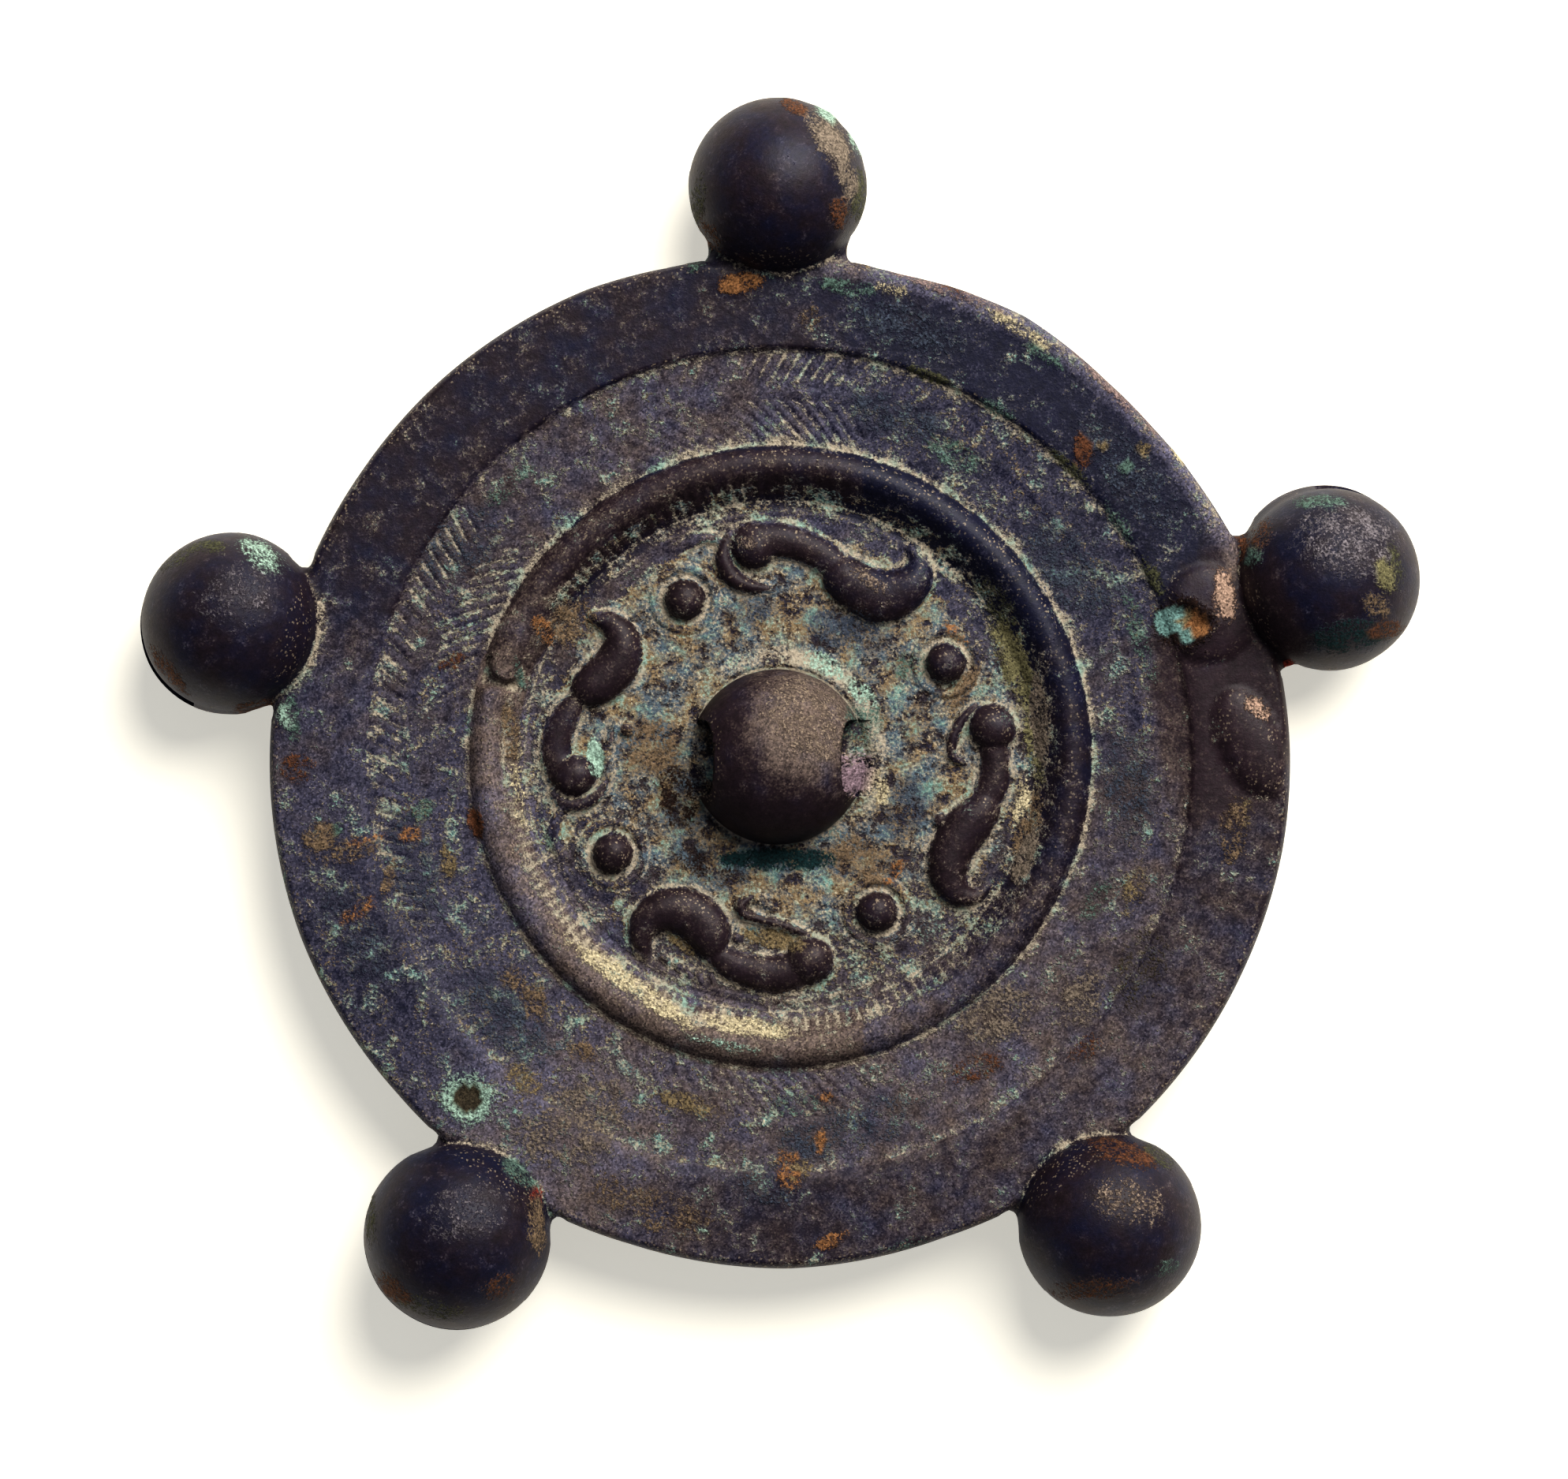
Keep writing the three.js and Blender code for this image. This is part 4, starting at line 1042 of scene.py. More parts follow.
    Patch(BloomAndPaintedLight.RUST, -26.2, -49.2, 2.2, 1.4, 35, 0.5, 0.05),
)


def add(
    tree: bpy.types.NodeTree, kind: str, inputs: dict[object, object] | None = None, out: object = 0, **settings: object
) -> Socket:
    """Add a shader node with its settings and links.

    Args:
        tree: The material's node tree.
        kind: The node's type, without the word ShaderNode.
        inputs: For each input's name or number, a value or the socket that feeds it.
        out: The name or number of the output that is given back.
        **settings: Properties to set on the node.

    Returns:
        The chosen output of the new node.
    """
    node = tree.nodes.new("ShaderNode" + kind)
    for name, value in settings.items():
        setattr(node, name, value)
    for name, value in (inputs or {}).items():
        if isinstance(value, Socket):
            tree.links.new(value, node.inputs[name])
        else:
            node.inputs[name].default_value = value
    return node.outputs[out] if node.outputs else None


def weighed(tree: bpy.types.NodeTree, base: Socket | float, *terms: tuple[Socket, float]) -> Socket:
    """Add patterns to a base value, each with its weight.

    Args:
        tree: The material's node tree.
        base: The value or the socket to start from.
        *terms: Pairs of a pattern's socket and its weight.

    Returns:
        The sum.
    """
    for pattern, weight in terms:
        base = add(tree, "Math", {0: pattern, 1: weight, 2: base}, operation="MULTIPLY_ADD")
    return base


def opaque(code: str) -> tuple[float, float, float, float]:
    """Give a hex colour as a colour socket's value."""
    return (*linear(code), 1.0)


@dataclass(frozen=True)
class PatinatedBronze:
    """Cast high-tin bronze, dark brown-black from burial, rubbed smooth on the high places.

    It gives the eye a near-black, faintly purple skin with a broad soft shine, a dusty lilac-grey film
    where the skin is worn thin, and crumbly grains of tan, cream and blue-green earth in the low places.
    Gold specks on the crests are partly rubbed metal and partly painted glint, and the film on the knob
    and some pale and gold patches are painted highlight. The skin is a dull mineral layer, so it has no
    metallic share and reflects less than glass does.
    """

    brown_skin: str = "#34272d"
    blue_skin: str = "#1b1c33"
    warm_dust_and_painted_highlight: str = "#75675f"
    cool_dust_and_painted_highlight: str = "#666375"
    # Colour of the gold specks: partly rubbed metal, partly painted glint and highlight
    gold_rub_and_painted_glint: str = "#b5a48c"
    crust_brown: str = "#41332d"
    crust_slate: str = "#64727d"
    crust_tan: str = "#938064"
    crust_green: str = "#7fa097"
    crust_cream: str = "#c2b79f"
    cream_lime_and_painted_highlight: str = "#b3a896"
    mint_lime_and_painted_highlight: str = "#94ada0"
    grit_mm: float = 0.17  # single grains of earth, finer on the real mirror and drawn coarse enough to show
    grain_mm: float = 0.3  # crumbs of crust
    clot_mm: float = 1.0  # clots that the crumbs gather in
    patch_mm: float = 3.2  # patches of one colour
    skin_roughness: float = 0.5
    crust_roughness: float = 0.85
    specular_level: float = 0.35
    bump_mm: float = 0.14

    def material(self) -> bpy.types.Material:
        """Make the material.

        Returns:
            A procedural material that reads object coordinates and the mesh's own attributes.
        """
        material = bpy.data.materials.new("patinated_cast_bronze")
        material.use_nodes = True
        tree = material.node_tree
        tree.nodes.clear()
        at = self.patterns(tree)
        grain, clot, stripe = at["grain"], at["clot"], at["stripe"]

        # Gold specks: rubbed metal on the crests, and painted glint and highlight where the key light falls
        rubbed_speck_and_painted_glint = add(tree, "MapRange", {"Value": at["grit_c"], "From Min": 0.9, "From Max": 0.96}, **SOFT)
        rubbed_speck_and_painted_glint = add(tree, "Math", {0: rubbed_speck_and_painted_glint, 1: at["rubbed_speck_and_painted_glint"]}, operation="MULTIPLY")
        skin = self.skin(tree, at)
        skin = add(tree, "Mix", {SHARE: rubbed_speck_and_painted_glint, UNDER: skin, OVER: opaque(self.gold_rub_and_painted_glint)}, **COLOUR_MIX)

        cover = weighed(tree, at["crust"], (clot, 1.0), (grain, 0.9), (stripe, 1.7), (at["grit_a"], 0.35))
        cover = add(tree, "MapRange", {"Value": cover, "From Min": 2.28, "From Max": 2.66}, **SOFT)
        colour = add(tree, "Mix", {SHARE: cover, UNDER: skin, OVER: self.crust(tree, at)}, **COLOUR_MIX)

        # Pale lime in hollows, grooves and lines; on the ring's lit sides it is partly painted highlight
        pale = weighed(tree, at["pale"], (clot, 1.3), (grain, 1.1), (at["grit_c"], 0.5), (stripe, 1.4))
        pale = add(tree, "MapRange", {"Value": pale, "From Min": 2.4, "From Max": 3.1}, **SOFT)
        minty = add(tree, "MapRange", {"Value": at["patch"], "From Min": 0.5, "From Max": 0.66})
        lime_and_painted_highlight = {SHARE: minty, UNDER: opaque(self.cream_lime_and_painted_highlight), OVER: opaque(self.mint_lime_and_painted_highlight)}
        lime_and_painted_highlight = add(tree, "Mix", lime_and_painted_highlight, **COLOUR_MIX)
        shade = weighed(tree, 0.2, (grain, 1.5))
        lime_and_painted_highlight = add(tree, "VectorMath", {"Vector": lime_and_painted_highlight, "Scale": shade}, operation="SCALE")
        colour = add(tree, "Mix", {SHARE: pale, UNDER: colour, OVER: lime_and_painted_highlight}, **COLOUR_MIX)
        cover = add(tree, "Math", {0: cover, 1: pale}, operation="MAXIMUM")

        # Stains and crusts, and patches of painted highlight and painted shade
        stained_and_painted = weighed(tree, at["stain_and_painted_light_amount"], (clot, 0.9), (grain, 0.9), (at["grit_b"], 0.4))
        stained_and_painted = add(tree, "MapRange", {"Value": stained_and_painted, "From Min": 1.42, "From Max": 1.85}, **SOFT)
        shade = weighed(tree, -0.3, (grain, 1.6), (at["grit_c"], 0.8))
        stain_and_painted_light = add(tree, "Attribute", out="Color", attribute_name="stain_and_painted_light")
        stain_and_painted_light = add(tree, "VectorMath", {"Vector": stain_and_painted_light, "Scale": shade}, operation="SCALE")
        colour = add(tree, "Mix", {SHARE: stained_and_painted, UNDER: colour, OVER: stain_and_painted_light}, **COLOUR_MIX)

        dull = add(tree, "Math", {0: cover, 1: stained_and_painted}, operation="MAXIMUM")
        film_dull = weighed(tree, self.skin_roughness, (at["dust_and_painted_highlight"], 0.2))
        rough = add(tree, "MapRange", {"Value": dull, "To Min": film_dull, "To Max": self.crust_roughness})
        height = weighed(tree, grain, (clot, 1.2), (at["grit_a"], 0.3))
        uneven = weighed(tree, 0.2, (dull, 0.75), (at["dust_and_painted_highlight"], 0.35))
        height = add(tree, "Math", {0: height, 1: uneven}, operation="MULTIPLY")
        bump = add(tree, "Bump", {"Height": height, "Strength": 1.0, "Distance": self.bump_mm * MM})
        shader = add(tree, "BsdfPrincipled", {
            "Base Color": colour, "Roughness": rough, "Specular IOR Level": self.specular_level, "Normal": bump,
        })
        add(tree, "OutputMaterial", {"Surface": shader})
        return material

    def patterns(self, tree: bpy.types.NodeTree) -> dict[str, Socket]:
        """Make the noise patterns and read the values that the weathering has stored on the mesh.

        Args:
            tree: The material's node tree.

        Returns:
            The socket of each pattern and value by name.
        """
        place = add(tree, "TexCoord", out="Object")
        at = {}
        sizes = {"grain": self.grain_mm, "clot": self.clot_mm, "patch": self.patch_mm, "stripe": self.patch_mm * 0.7}
        for i, (name, size) in enumerate(sizes.items()):
            shifted = add(tree, "Mapping", {"Vector": place, "Location": (0.01 * i, -0.013 * i, 0.02 * i)})
            at[name] = add(tree, "TexNoise", {
                "Vector": shifted, "Scale": 1 / (size * MM), "Detail": 3.0, "Roughness": 0.6,
            }, out="Fac")
        cells = add(tree, "TexVoronoi", {"Vector": place, "Scale": 1 / (self.grit_mm * MM)}, out="Color")
        at.update(zip(("grit_a", "grit_b", "grit_c"), add(tree, "SeparateColor", {0: cells}).node.outputs))
        for name in ("dust_and_painted_highlight", "crust", "rubbed_speck_and_painted_glint", "pale", "stain_and_painted_light_amount", "blueness"):
            at[name] = add(tree, "Attribute", out="Fac", attribute_name=name)
        return at

    def skin(self, tree: bpy.types.NodeTree, at: dict[str, Socket]) -> Socket:
        """Colour the dark skin and the dust on it.

        Args:
            tree: The material's node tree.
            at: The patterns and values by name.

        Returns:
            The skin's colour.
        """
        blue = weighed(tree, at["blueness"], (at["patch"], 1.2))
        blue = add(tree, "MapRange", {"Value": blue, "From Min": 0.55, "From Max": 1.25}, **SOFT)
        skin = {SHARE: blue, UNDER: opaque(self.brown_skin), OVER: opaque(self.blue_skin)}
        skin = add(tree, "Mix", skin, **COLOUR_MIX)
        bright = weighed(tree, -0.5, (at["grain"], 1.1), (at["clot"], 1.0), (at["patch"], 0.9))
        skin = add(tree, "VectorMath", {"Vector": skin, "Scale": bright}, operation="SCALE")
        dust_and_painted_highlight_share = weighed(tree, at["dust_and_painted_highlight"], (at["grit_a"], 0.4), (at["clot"], 1.0), (at["stripe"], 0.9))
        dust_and_painted_highlight_share = add(tree, "MapRange", {"Value": dust_and_painted_highlight_share, "From Min": 1.25, "From Max": 2.05})
        dust_and_painted_highlight_colour = {SHARE: blue, UNDER: opaque(self.warm_dust_and_painted_highlight), OVER: opaque(self.cool_dust_and_painted_highlight)}
        dust_and_painted_highlight_colour = add(tree, "Mix", dust_and_painted_highlight_colour, **COLOUR_MIX)
        shade = weighed(tree, 0.4, (at["grit_b"], 1.2))
        dust_and_painted_highlight_colour = add(tree, "VectorMath", {"Vector": dust_and_painted_highlight_colour, "Scale": shade}, operation="SCALE")
        return add(tree, "Mix", {SHARE: dust_and_painted_highlight_share, UNDER: skin, OVER: dust_and_painted_highlight_colour}, **COLOUR_MIX)

    def crust(self, tree: bpy.types.NodeTree, at: dict[str, Socket]) -> Socket:
        """Colour the crust: slate, with tan, green, brown and cream laid over it one after the other.

        Args:
            tree: The material's node tree.
            at: The patterns and values by name.

        Returns:
            The crust's colour.
        """
        grain, stripe = at["grain"], at["stripe"]
        colour = opaque(self.crust_slate)
        for pattern, low, high, over in (
            (weighed(tree, at["patch"], (grain, 0.45), (at["grit_a"], 0.12)), 0.68, 0.9, self.crust_tan),
            (weighed(tree, stripe, (grain, 0.5)), 0.8, 0.98, self.crust_green),
            (weighed(tree, at["clot"], (stripe, 1.0)), 0.98, 0.78, self.crust_brown),
            (weighed(tree, grain, (at["grit_b"], 0.6)), 0.96, 1.3, self.crust_cream),
        ):
            share = add(tree, "MapRange", {"Value": pattern, "From Min": low, "From Max": high})
            colour = add(tree, "Mix", {SHARE: share, UNDER: colour, OVER: opaque(over)}, **COLOUR_MIX)
        shade = weighed(tree, 0.25, (grain, 1.5))
        return add(tree, "VectorMath", {"Vector": colour, "Scale": shade}, operation="SCALE")


@dataclass
class Weathering:
    """Where the bronze is crusted, dusty, rubbed or stained, and where highlight and shade are painted on, worked out
    on the finished mesh.
    """

    plate: Plate
    bells: tuple[Bell, ...] = BELLS
    hollow_mm: float = 0.1
    broad_mm: float = 0.34
    hollow_rounds: int = 4
    broad_rounds: int = 14
    light_from: tuple[float, float, float] = (0.34, 0.58, 0.74)

    def smoothed(self, values: np.ndarray, ends: np.ndarray, rounds: int) -> np.ndarray:
        """Average values with their neighbours along the mesh's edges.

        Args:
            values: A row of numbers for each vertex.
            ends: The two vertices of each edge.
            rounds: How often to average.

        Returns:
            The averaged rows.
        """
        here, there = np.concatenate((ends, ends[:, ::-1])).T
        count = np.bincount(here, minlength=len(values))[:, None]
        for _ in range(rounds):
            total = np.column_stack([np.bincount(here, values[there, i], len(values)) for i in range(3)])
            values = 0.5 * values + 0.5 * total / np.maximum(count, 1)
        return values

    def paint(self, piece: bpy.types.Object) -> None:
        """Store the weathering and the painted highlight and shade on the mesh, and raise the thick crusts.

        Args:
            piece: The joined casting, in millimetres.
        """
        mesh = piece.data
        places = coordinates(mesh)
        ends = np.zeros(len(mesh.edges) * 2, dtype=np.int64)
        mesh.edges.foreach_get("vertices", ends)
        ends = ends.reshape(-1, 2)
        outward = np.zeros(len(mesh.vertices) * 3)
        mesh.vertices.foreach_get("normal", outward)
        outward = outward.reshape(-1, 3)
        near = self.smoothed(places, ends, self.hollow_rounds)
        broad = self.smoothed(near, ends, self.broad_rounds)
        close = ((near - places) * outward).sum(1) / self.hollow_mm
        wide = ((broad - places) * outward).sum(1) / self.broad_mm
        hollow = np.clip(0.5 * close + 0.8 * wide, 0, 1)
        crest = np.clip(-0.5 * close - 0.8 * wide, 0, 1)

        # Raise the crusts, then work out the rest on the raised places
        stain_and_painted_light, amount, rise = self.stained_and_painted(places)
        rough = 1 + 0.8 * grit(places, 0.8, 5)
        places = places + outward * (rise * rough)[:, None]
        mesh.vertices.foreach_set("co", places.ravel())
        radius, angle = self.plate.unwrap(places)
        top = (outward[:, 2] > 0.2) & (places[:, 2] > 6.5) & (radius < 47.8)
        grooves = self.plate.packed_grooves(radius, angle) * top
        # Painted highlight: gold specks on relief that faces the key light, stored with the specks on crests, which are
        # partly rubbed metal and partly painted glint
        painted_highlight_mask = ease(outward @ np.array(self.light_from), 0.72, 0.97) * (radius < 29)
        painted_highlight_mask = painted_highlight_mask * (places[:, 2] > FIELD_TOP + 0.7)
        self.store(mesh, "rubbed_speck_and_painted_glint", np.maximum(0.5 * ease(crest, 0.35, 0.9) * (radius < 48), 0.6 * painted_highlight_mask))
        self.store(mesh, "stain_and_painted_light_amount", amount)
        self.store(mesh, "crust", self.crust(places, outward) + 0.35 * hollow)
        clean = self.on_bells(places) * np.clip((places[:, 2] - 10.8) * 2, 0, 1)
        clean = clean + (radius < 8.6) * (places[:, 2] > FIELD_TOP + 0.8)
        clean = clean + 1.5 * self.flawed(places[:, 0], places[:, 1])
        # Pale lime in hollows, grooves and lines, partly painted highlight on the ring's lit sides
        self.store(mesh, "pale", 0.8 * hollow + 0.7 * grooves + 0.9 * self.lines(radius, angle) * top - 0.4 * clean)
        self.store(mesh, "dust_and_painted_highlight", self.dust_and_painted_highlight(places, radius, angle) * np.where(top | (radius < 9), 1.0, 0.3))
        self.store(mesh, "blueness", self.blueness(places))
        colour = mesh.attributes.new("stain_and_painted_light", "FLOAT_COLOR", "POINT")
        colour.data.foreach_set("color", np.column_stack((stain_and_painted_light, np.ones(len(places)))).ravel())
        mesh.update()

    def stained_and_painted(self, places: np.ndarray) -> tuple[np.ndarray, np.ndarray, np.ndarray]:
        """Lay the stains and crusts on the mirror, with the patches of painted highlight and shade, the densest at each
        place on top.

        Args:
            places: The vertices.

        Returns:
            For each vertex the colour of its stain or painted patch, how dense it is and how far it is raised.
        """
        colour = np.zeros((len(places), 3))
        amount, rise = np.zeros(len(places)), np.zeros(len(places))
        for number, patch in enumerate(PATCHES):
            weight = patch.weight(places)
            here = np.flatnonzero(weight > 0)
            weight[here] *= 1 + 0.45 * grit(places[here], 1.6, number)
            colour[weight > amount] = linear(patch.bloom_and_painted_light.value)
            amount = np.maximum(amount, weight)
            rise += patch.rise * weight
        return colour, amount, rise

    def on_bells(self, places: np.ndarray) -> np.ndarray:
        """Tell which places lie on a bell rather than on the plate."""
        near = [np.linalg.norm(places - np.array(bell.centre), axis=1) < bell.radius + 0.3 for bell in self.bells]
        return np.any(near, axis=0) & (np.hypot(places[:, 0], places[:, 1]) > 42)

    def store(self, mesh: bpy.types.Mesh, name: str, values: np.ndarray) -> None:
        """Store one number for each vertex."""
        mesh.attributes.new(name, "FLOAT", "POINT").data.foreach_set("value", values)

    def crust(self, places: np.ndarray, outward: np.ndarray) -> np.ndarray:
        """Give how crusted each part of the mirror is, from 0 to 1.

        Args:
            places: The vertices as rows of X, Y and Z.
            outward: Their normals.

        Returns:
            The crust's density, less than 0 where the skin is bare.
        """
        radius = np.hypot(places[:, 0], places[:, 1])
        angle = np.degrees(np.arctan2(places[:, 1], places[:, 0]))
        rim = round_the_plate(angle, (
            (-160, 0.28), (-130, 0.26), (-110, 0.18), (-60, 0.02), (-35, 0.02), (-15, 0.05), (0, 0.0), (30, 0.08),
            (50, 0.05), (75, 0.1), (95, 0.05), (110, -0.12), (158, -0.12), (180, 0.16),
        ))
        comb = round_the_plate(angle, (
            (-160, 0.3), (-130, 0.32), (-95, 0.24), (-60, 0.12), (-30, 0.12), (-5, 0.24), (20, 0.28), (60, 0.3),
            (85, 0.12), (125, 0.14), (150, 0.24),
        ))
        ring = np.where(radius > 26.2, -0.1, 0.3)
        band = round_the_plate(angle, ((-180, 0.4), (-60, 0.3), (0, 0.2), (40, 1.0), (140, 1.0)))
        band = band * ease(radius, 20.8, 22.4)
        bare = ease(radius, 13.5, 18.0) * round_the_plate(angle, (
            (-175, 0.1), (-150, 0.3), (-125, 0.38), (-70, 0.32), (-40, 0.28), (-15, 0.12), (20, 0.0), (160, 0.0),
        ))
        field_crust = np.where(places[:, 2] > FIELD_TOP + 0.55, -0.3, 0.72 - 0.55 * band - bare)
        low = np.where(radius > COMB_FROM, comb, np.where(radius > RING_FROM, ring, field_crust))
        value = np.where(radius > RIM_FROM, rim, low)
        value = np.where(radius < KNOB_TO, np.where(places[:, 2] > FIELD_TOP + 0.8, -0.5, 0.5), value)
        value = np.where(self.on_bells(places), -0.4, value) - 0.3 * self.flawed(places[:, 0], places[:, 1])
        return np.where((outward[:, 2] < -0.2) & (radius < 47.5), 0.0, value)

    def lines(self, radius: np.ndarray, angle: np.ndarray) -> np.ndarray:
        """Give the pale lines of lime along feet, slopes and edges, from 0 to 1; on the ring's sides that face the key
        light they are partly painted highlight.

        Args:
            radius: The places' distances from the middle of the plate.
            angle: Their angles in degrees.

        Returns:
            The strength of the lines at each place.
        """
        lines = (
            # The ring's outer foot, strongest on the upper side that faces the key light: partly lime, partly painted
            # highlight
            (30.0, 0.6, (
                (-40, 0.1), (-5, 0.3), (30, 0.4), (60, 0.42), (120, 0.35), (150, 0.5), (165, 0.15), (200, 0.0),
            )),
            # The collar of earth round the knob
            (9.5, 1.1, (
                (-150, 0.0), (-70, 0.1), (-20, 0.5), (15, 0.8), (50, 0.95), (85, 0.9), (110, 0.6), (140, 0.25),
            )),
            # The groove inside the ring
            (23.1, 0.25, ((-150, 0.55), (-60, 0.6), (0, 0.4), (90, 0.35), (150, 0.5))),
            # The ring's inner slope, strongest at the lower left where it faces the key light: partly lime, partly
            # painted highlight
            (25.6, 0.9, (
                (-170, 0.5), (-150, 0.5), (-138, 0.8), (-100, 0.85), (-82, 0.5), (-50, 0.35), (-35, 0.35), (15, 0.3),
                (40, 0.2), (58, 0.1), (80, -0.1), (130, -0.1), (148, 0.3), (170, 0.5),
            )),
            # The step up to the rim
            (38.5, 0.35, ((-20, 0.0), (15, 0.1), (40, 0.3), (70, 0.35), (80, 0.1), (100, 0.0))),
        )
        edge = round_the_plate(angle, ((5, 0.0), (25, 0.4), (50, 0.45), (75, 0.4), (90, 0.1), (130, 0.05), (-60, 0.0)))
        return ease(radius, 45.6, 47.2) * edge + sum(
            np.exp(-(((radius - at) / half) ** 2)) * round_the_plate(angle, strength) for at, half, strength in lines
        )

    def flawed(self, x: np.ndarray, y: np.ndarray) -> np.ndarray:
        """Give the clean brown stretch of the right rim round its casting flaws, from 0 to 1."""
        return 1 - ease(np.hypot((x - 42.3) / 7.5, (y - 7.5) / 14.0), 0.75, 1.1)

    def dust_and_painted_highlight(self, places: np.ndarray, radius: np.ndarray, angle: np.ndarray) -> np.ndarray:
        """Give how dusty and worn thin the skin is, from 0 to 1; on the knob's upper right it is painted highlight.

        Args:
            places: The vertices as rows of X, Y and Z.
            radius: The places' distances from the middle of the plate.
            angle: Their angles in degrees.

        Returns:
            The density of the dust, and of the painted highlight on the knob.
        """
        rim = round_the_plate(angle, (
            (-175, 0.5), (-150, 0.35), (-128, 0.7), (-108, 0.5), (-90, 0.25), (-60, 0.4), (-40, 0.5), (-12, 0.25),
            (5, 0.2), (30, 0.12), (60, 0.05), (85, 0.15), (110, 0.05), (155, 0.05), (168, 0.35),
        ))
        comb = round_the_plate(angle, (
            (-140, 0.6), (-60, 0.65), (0, 0.5), (60, 0.4), (110, 0.55), (150, 0.45), (180, 0.5),
        ))
        ring = round_the_plate(angle, (
            (-175, 0.9), (-150, 0.8), (-100, 0.75), (-70, 0.65), (-40, 0.35), (0, 0.0), (60, 0.0), (100, 0.1),
            (140, 0.2), (168, 0.7),
        ))
        low = np.where(radius > COMB_FROM, comb, np.where(radius > 23.4, ring, 0.5))
        value = np.where(radius > RIM_FROM, rim, low)
        value = np.where((radius < 23.0) & (places[:, 2] > FIELD_TOP + 0.6), 0.05, value)
        # Painted highlight: a broad pale patch on the knob's upper right, where the key light falls
        knob = 1.7 * np.exp(-(((places[:, 0] - 2.8) / 5.4) ** 2) - ((places[:, 1] - 3.6) / 5.4) ** 2) - 0.2
        corner = 1 - ease(np.hypot(places[:, 0] + 21, places[:, 1] + 35), 4.0, 13.0)
        worn_edge = ease(radius, 45.4, 46.6) * round_the_plate(angle, ((10, 0.0), (22, 0.8), (75, 0.8), (95, 0.0)))
        value = value + 0.3 * corner + worn_edge - 0.25 * self.flawed(places[:, 0], places[:, 1])
        return np.where(self.on_bells(places), -0.2, np.where(radius < KNOB_TO, knob, value))

    def blueness(self, places: np.ndarray) -> np.ndarray:
        """Give where the skin is blue-black rather than brown.

        Args:
            places: The vertices as rows of X, Y and Z.

        Returns:
            The share of blue, from about -0.8 to 1.
        """
        upper_right = np.exp(-(((places[:, 0] - 26) / 18) ** 2) - ((places[:, 1] - 30) / 16) ** 2)
        lower_left = np.exp(-(((places[:, 0] + 36) / 14) ** 2) - ((places[:, 1] + 16) / 18) ** 2)
        radius = np.hypot(places[:, 0], places[:, 1])
        raised = (radius < 29.5) & (places[:, 2] > FIELD_TOP + 0.6)
        ring_right = (radius > 23.5) & (places[:, 0] > 8)
        blue = np.clip(upper_right + 0.6 * lower_left + 0.3, 0, 1) - 0.3 * (raised & ~ring_right)
        return blue - 0.5 * self.flawed(places[:, 0], places[:, 1])


@dataclass
class BellMirror:
    """The whole casting."""

    plate: Plate = field(default_factory=Plate)
    knob: Knob = field(default_factory=Knob)
    bells: tuple[Bell, ...] = BELLS
    finish: PatinatedBronze = field(default_factory=PatinatedBronze)
    neck_heights: tuple[float, float] = (6.2, 11.4)
    neck_reach: tuple[float, float] = (-0.9, 1.5)  # from the bell's surface
    neck_radius: float = 50.2
    neck_rounds: int = 6

    def build(self) -> bpy.types.Object:
        """Build, join, weather and dress the casting.

        Returns:
            The finished piece in metres, in the part's frame.
        """
        piece = self.plate.build()
        self.join_bells(piece)
        combine(piece, self.knob.cord_hole(), "DIFFERENCE")
        self.soften_necks(piece)
        Weathering(self.plate).paint(piece)
        middle = mount_place("polished_face").xy.to_3d()
        piece.data.transform(Matrix.Scale(MM, 4) @ Matrix.Translation(middle))
        piece.data.shade_smooth()
        piece.data.materials.clear()
        piece.data.materials.append(self.finish.material())
        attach(piece, "root")
        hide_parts(*CASTING_NODES)
        return piece

    def join_bells(self, piece: bpy.types.Object) -> None:
        """Join the bells and their webs to the plate, then hollow and slit them.

        Args:
            piece: The plate, which is changed.
        """
        for part, operation in (
            (Bell.add_web, "UNION"), (Bell.add_ball, "UNION"),
            (Bell.add_hollow, "DIFFERENCE"), (Bell.add_slit, "DIFFERENCE"),
        ):
            bm = bmesh.new()
            for bell in self.bells:
                part(bell, bm)
            combine(piece, mesh_object("bell_part", bm), operation)

    def soften_necks(self, piece: bpy.types.Object) -> None:
        """Round the corners where the bells meet the rim, as cast metal does.

        Args:
            piece: The joined casting, which is changed.
        """
        bm = bmesh.new()
        bm.from_mesh(piece.data)
        bmesh.ops.remove_doubles(bm, verts=bm.verts, dist=SAME_POINT)
        low, high = self.neck_heights
        inside, outside = self.neck_reach
        for bell in self.bells:
            centre = bell.centre
            near = [
                v for v in bm.verts
                if low < v.co.z < high and inside < (v.co - centre).length - bell.radius < outside
                and math.hypot(v.co.x, v.co.y) < self.neck_radius
            ]
            for _ in range(self.neck_rounds):
                bmesh.ops.smooth_vert(bm, verts=near, factor=0.5, use_axis_x=True, use_axis_y=True, use_axis_z=True)
        open_edges = sum(not e.is_manifold for e in bm.edges)
        LOG.info("casting has %d open edges", open_edges)
        bm.to_mesh(piece.data)
        bm.free()


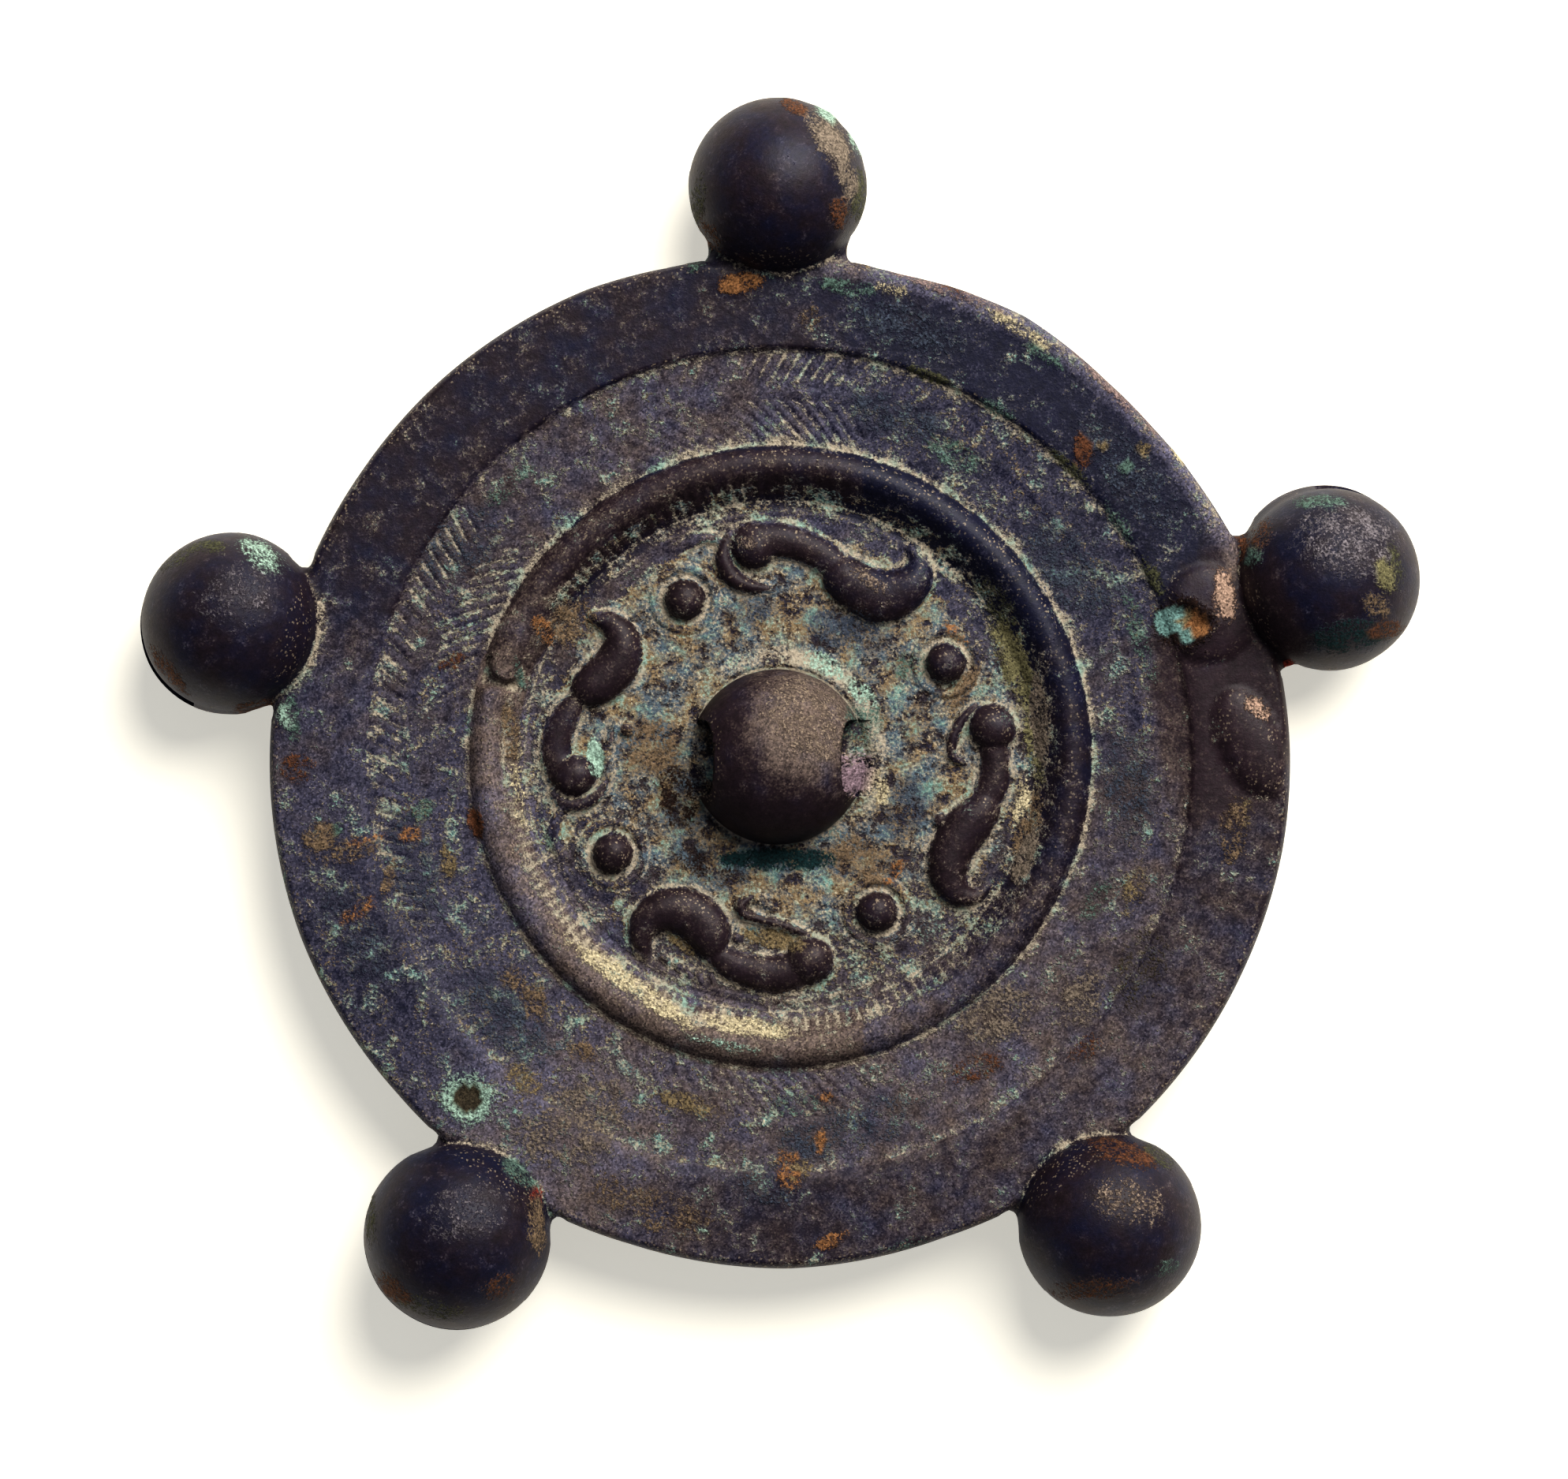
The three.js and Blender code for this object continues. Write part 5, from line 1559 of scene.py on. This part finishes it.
@dataclass(frozen=True)
class PaperSweep:
    """Warm white paper, matt and lit from below too, which gives a near-white ground with faint shadows."""

    colour: str = "#f8f3e4"
    grain_mm: float = 1.5  # clouds in the paper, as its fibres are too fine to show
    glow: float = 0.38
    glow_colour: str = "#fffdf3"

    def material(self) -> bpy.types.Material:
        """Make the paper's material.

        Returns:
            The material.
        """
        material = bpy.data.materials.new("warm_white_paper")
        material.use_nodes = True
        tree = material.node_tree
        tree.nodes.clear()
        place = add(tree, "TexCoord", out="Object")
        grain = add(tree, "TexNoise", {"Vector": place, "Scale": 1 / (self.grain_mm * MM)}, out="Fac")
        shader = add(tree, "BsdfPrincipled", {
            "Base Color": opaque(self.colour), "Roughness": 0.95, "Specular IOR Level": 0.1,
            "Emission Color": opaque(self.glow_colour), "Emission Strength": self.glow,
            "Normal": add(tree, "Bump", {"Height": grain, "Distance": 0.02 * MM}),
        })
        add(tree, "OutputMaterial", {"Surface": shader})
        return material


@dataclass
class Studio:
    """The paper floor, a large soft light above and to the upper right, and the camera straight above."""

    view_width: float = 147.85  # of the picture at the rim's height
    view_centre: tuple[float, float] = (0.315, -2.474)
    camera_height: float = 900.0
    sensor: float = 36.0
    key_watts: float = 9.9
    key_metres: float = 0.75
    key_from: tuple[float, float, float] = (0.3, 0.52, 0.66)
    key_colour: str = "#fffcf7"
    fill: float = 0.12
    fill_colour: str = "#e7ecff"
    floor_half: float = 1.5

    def build(self) -> None:
        """Make the floor, the lights, the surroundings and the camera."""
        scene = bpy.context.scene
        scene.view_settings.view_transform = "Standard"
        scene.view_settings.look = "High Contrast"
        bm = bmesh.new()
        bmesh.ops.create_grid(bm, x_segments=8, y_segments=8, size=self.floor_half)
        bmesh.ops.translate(bm, verts=bm.verts, vec=(0, 0, -0.02 * MM))
        floor = mesh_object("paper_floor", bm)
        floor.data.materials.append(PaperSweep().material())

        light = bpy.data.lights.new("key_softbox", "AREA")
        light.shape = "DISK"
        light.size = self.key_metres
        light.energy = self.key_watts
        light.color = linear(self.key_colour)
        key = bpy.data.objects.new("key_softbox", light)
        place = Vector(self.key_from)
        key.matrix_world = Matrix.Translation(place) @ place.to_track_quat("Z", "Y").to_matrix().to_4x4()
        scene.collection.objects.link(key)

        world = bpy.data.worlds.new("studio_walls")
        world.use_nodes = True
        world.node_tree.nodes.clear()
        walls = add(world.node_tree, "Background", {"Color": opaque(self.fill_colour), "Strength": self.fill})
        add(world.node_tree, "OutputWorld", {"Surface": walls})
        scene.world = world

        lens = bpy.data.cameras.new("copy_stand_camera")
        lens.sensor_width = self.sensor
        lens.lens = self.sensor * (self.camera_height - RIM_TOP) / self.view_width
        lens.clip_start = 0.01
        camera = bpy.data.objects.new("copy_stand_camera", lens)
        camera.location = Vector((*self.view_centre, self.camera_height)) * MM
        scene.collection.objects.link(camera)
        scene.camera = camera


def main() -> None:
    """Build the studio and the mirror, and report each piece."""
    logging.basicConfig(level=logging.INFO, format="%(name)s: %(message)s")
    Studio().build()
    LOG.info("studio ready")
    casting = BellMirror().build()
    triangles = sum(len(face.vertices) - 2 for face in casting.data.polygons)
    LOG.info("%s: %d triangles", casting.name, triangles)


if __name__ == "__main__":
    main()
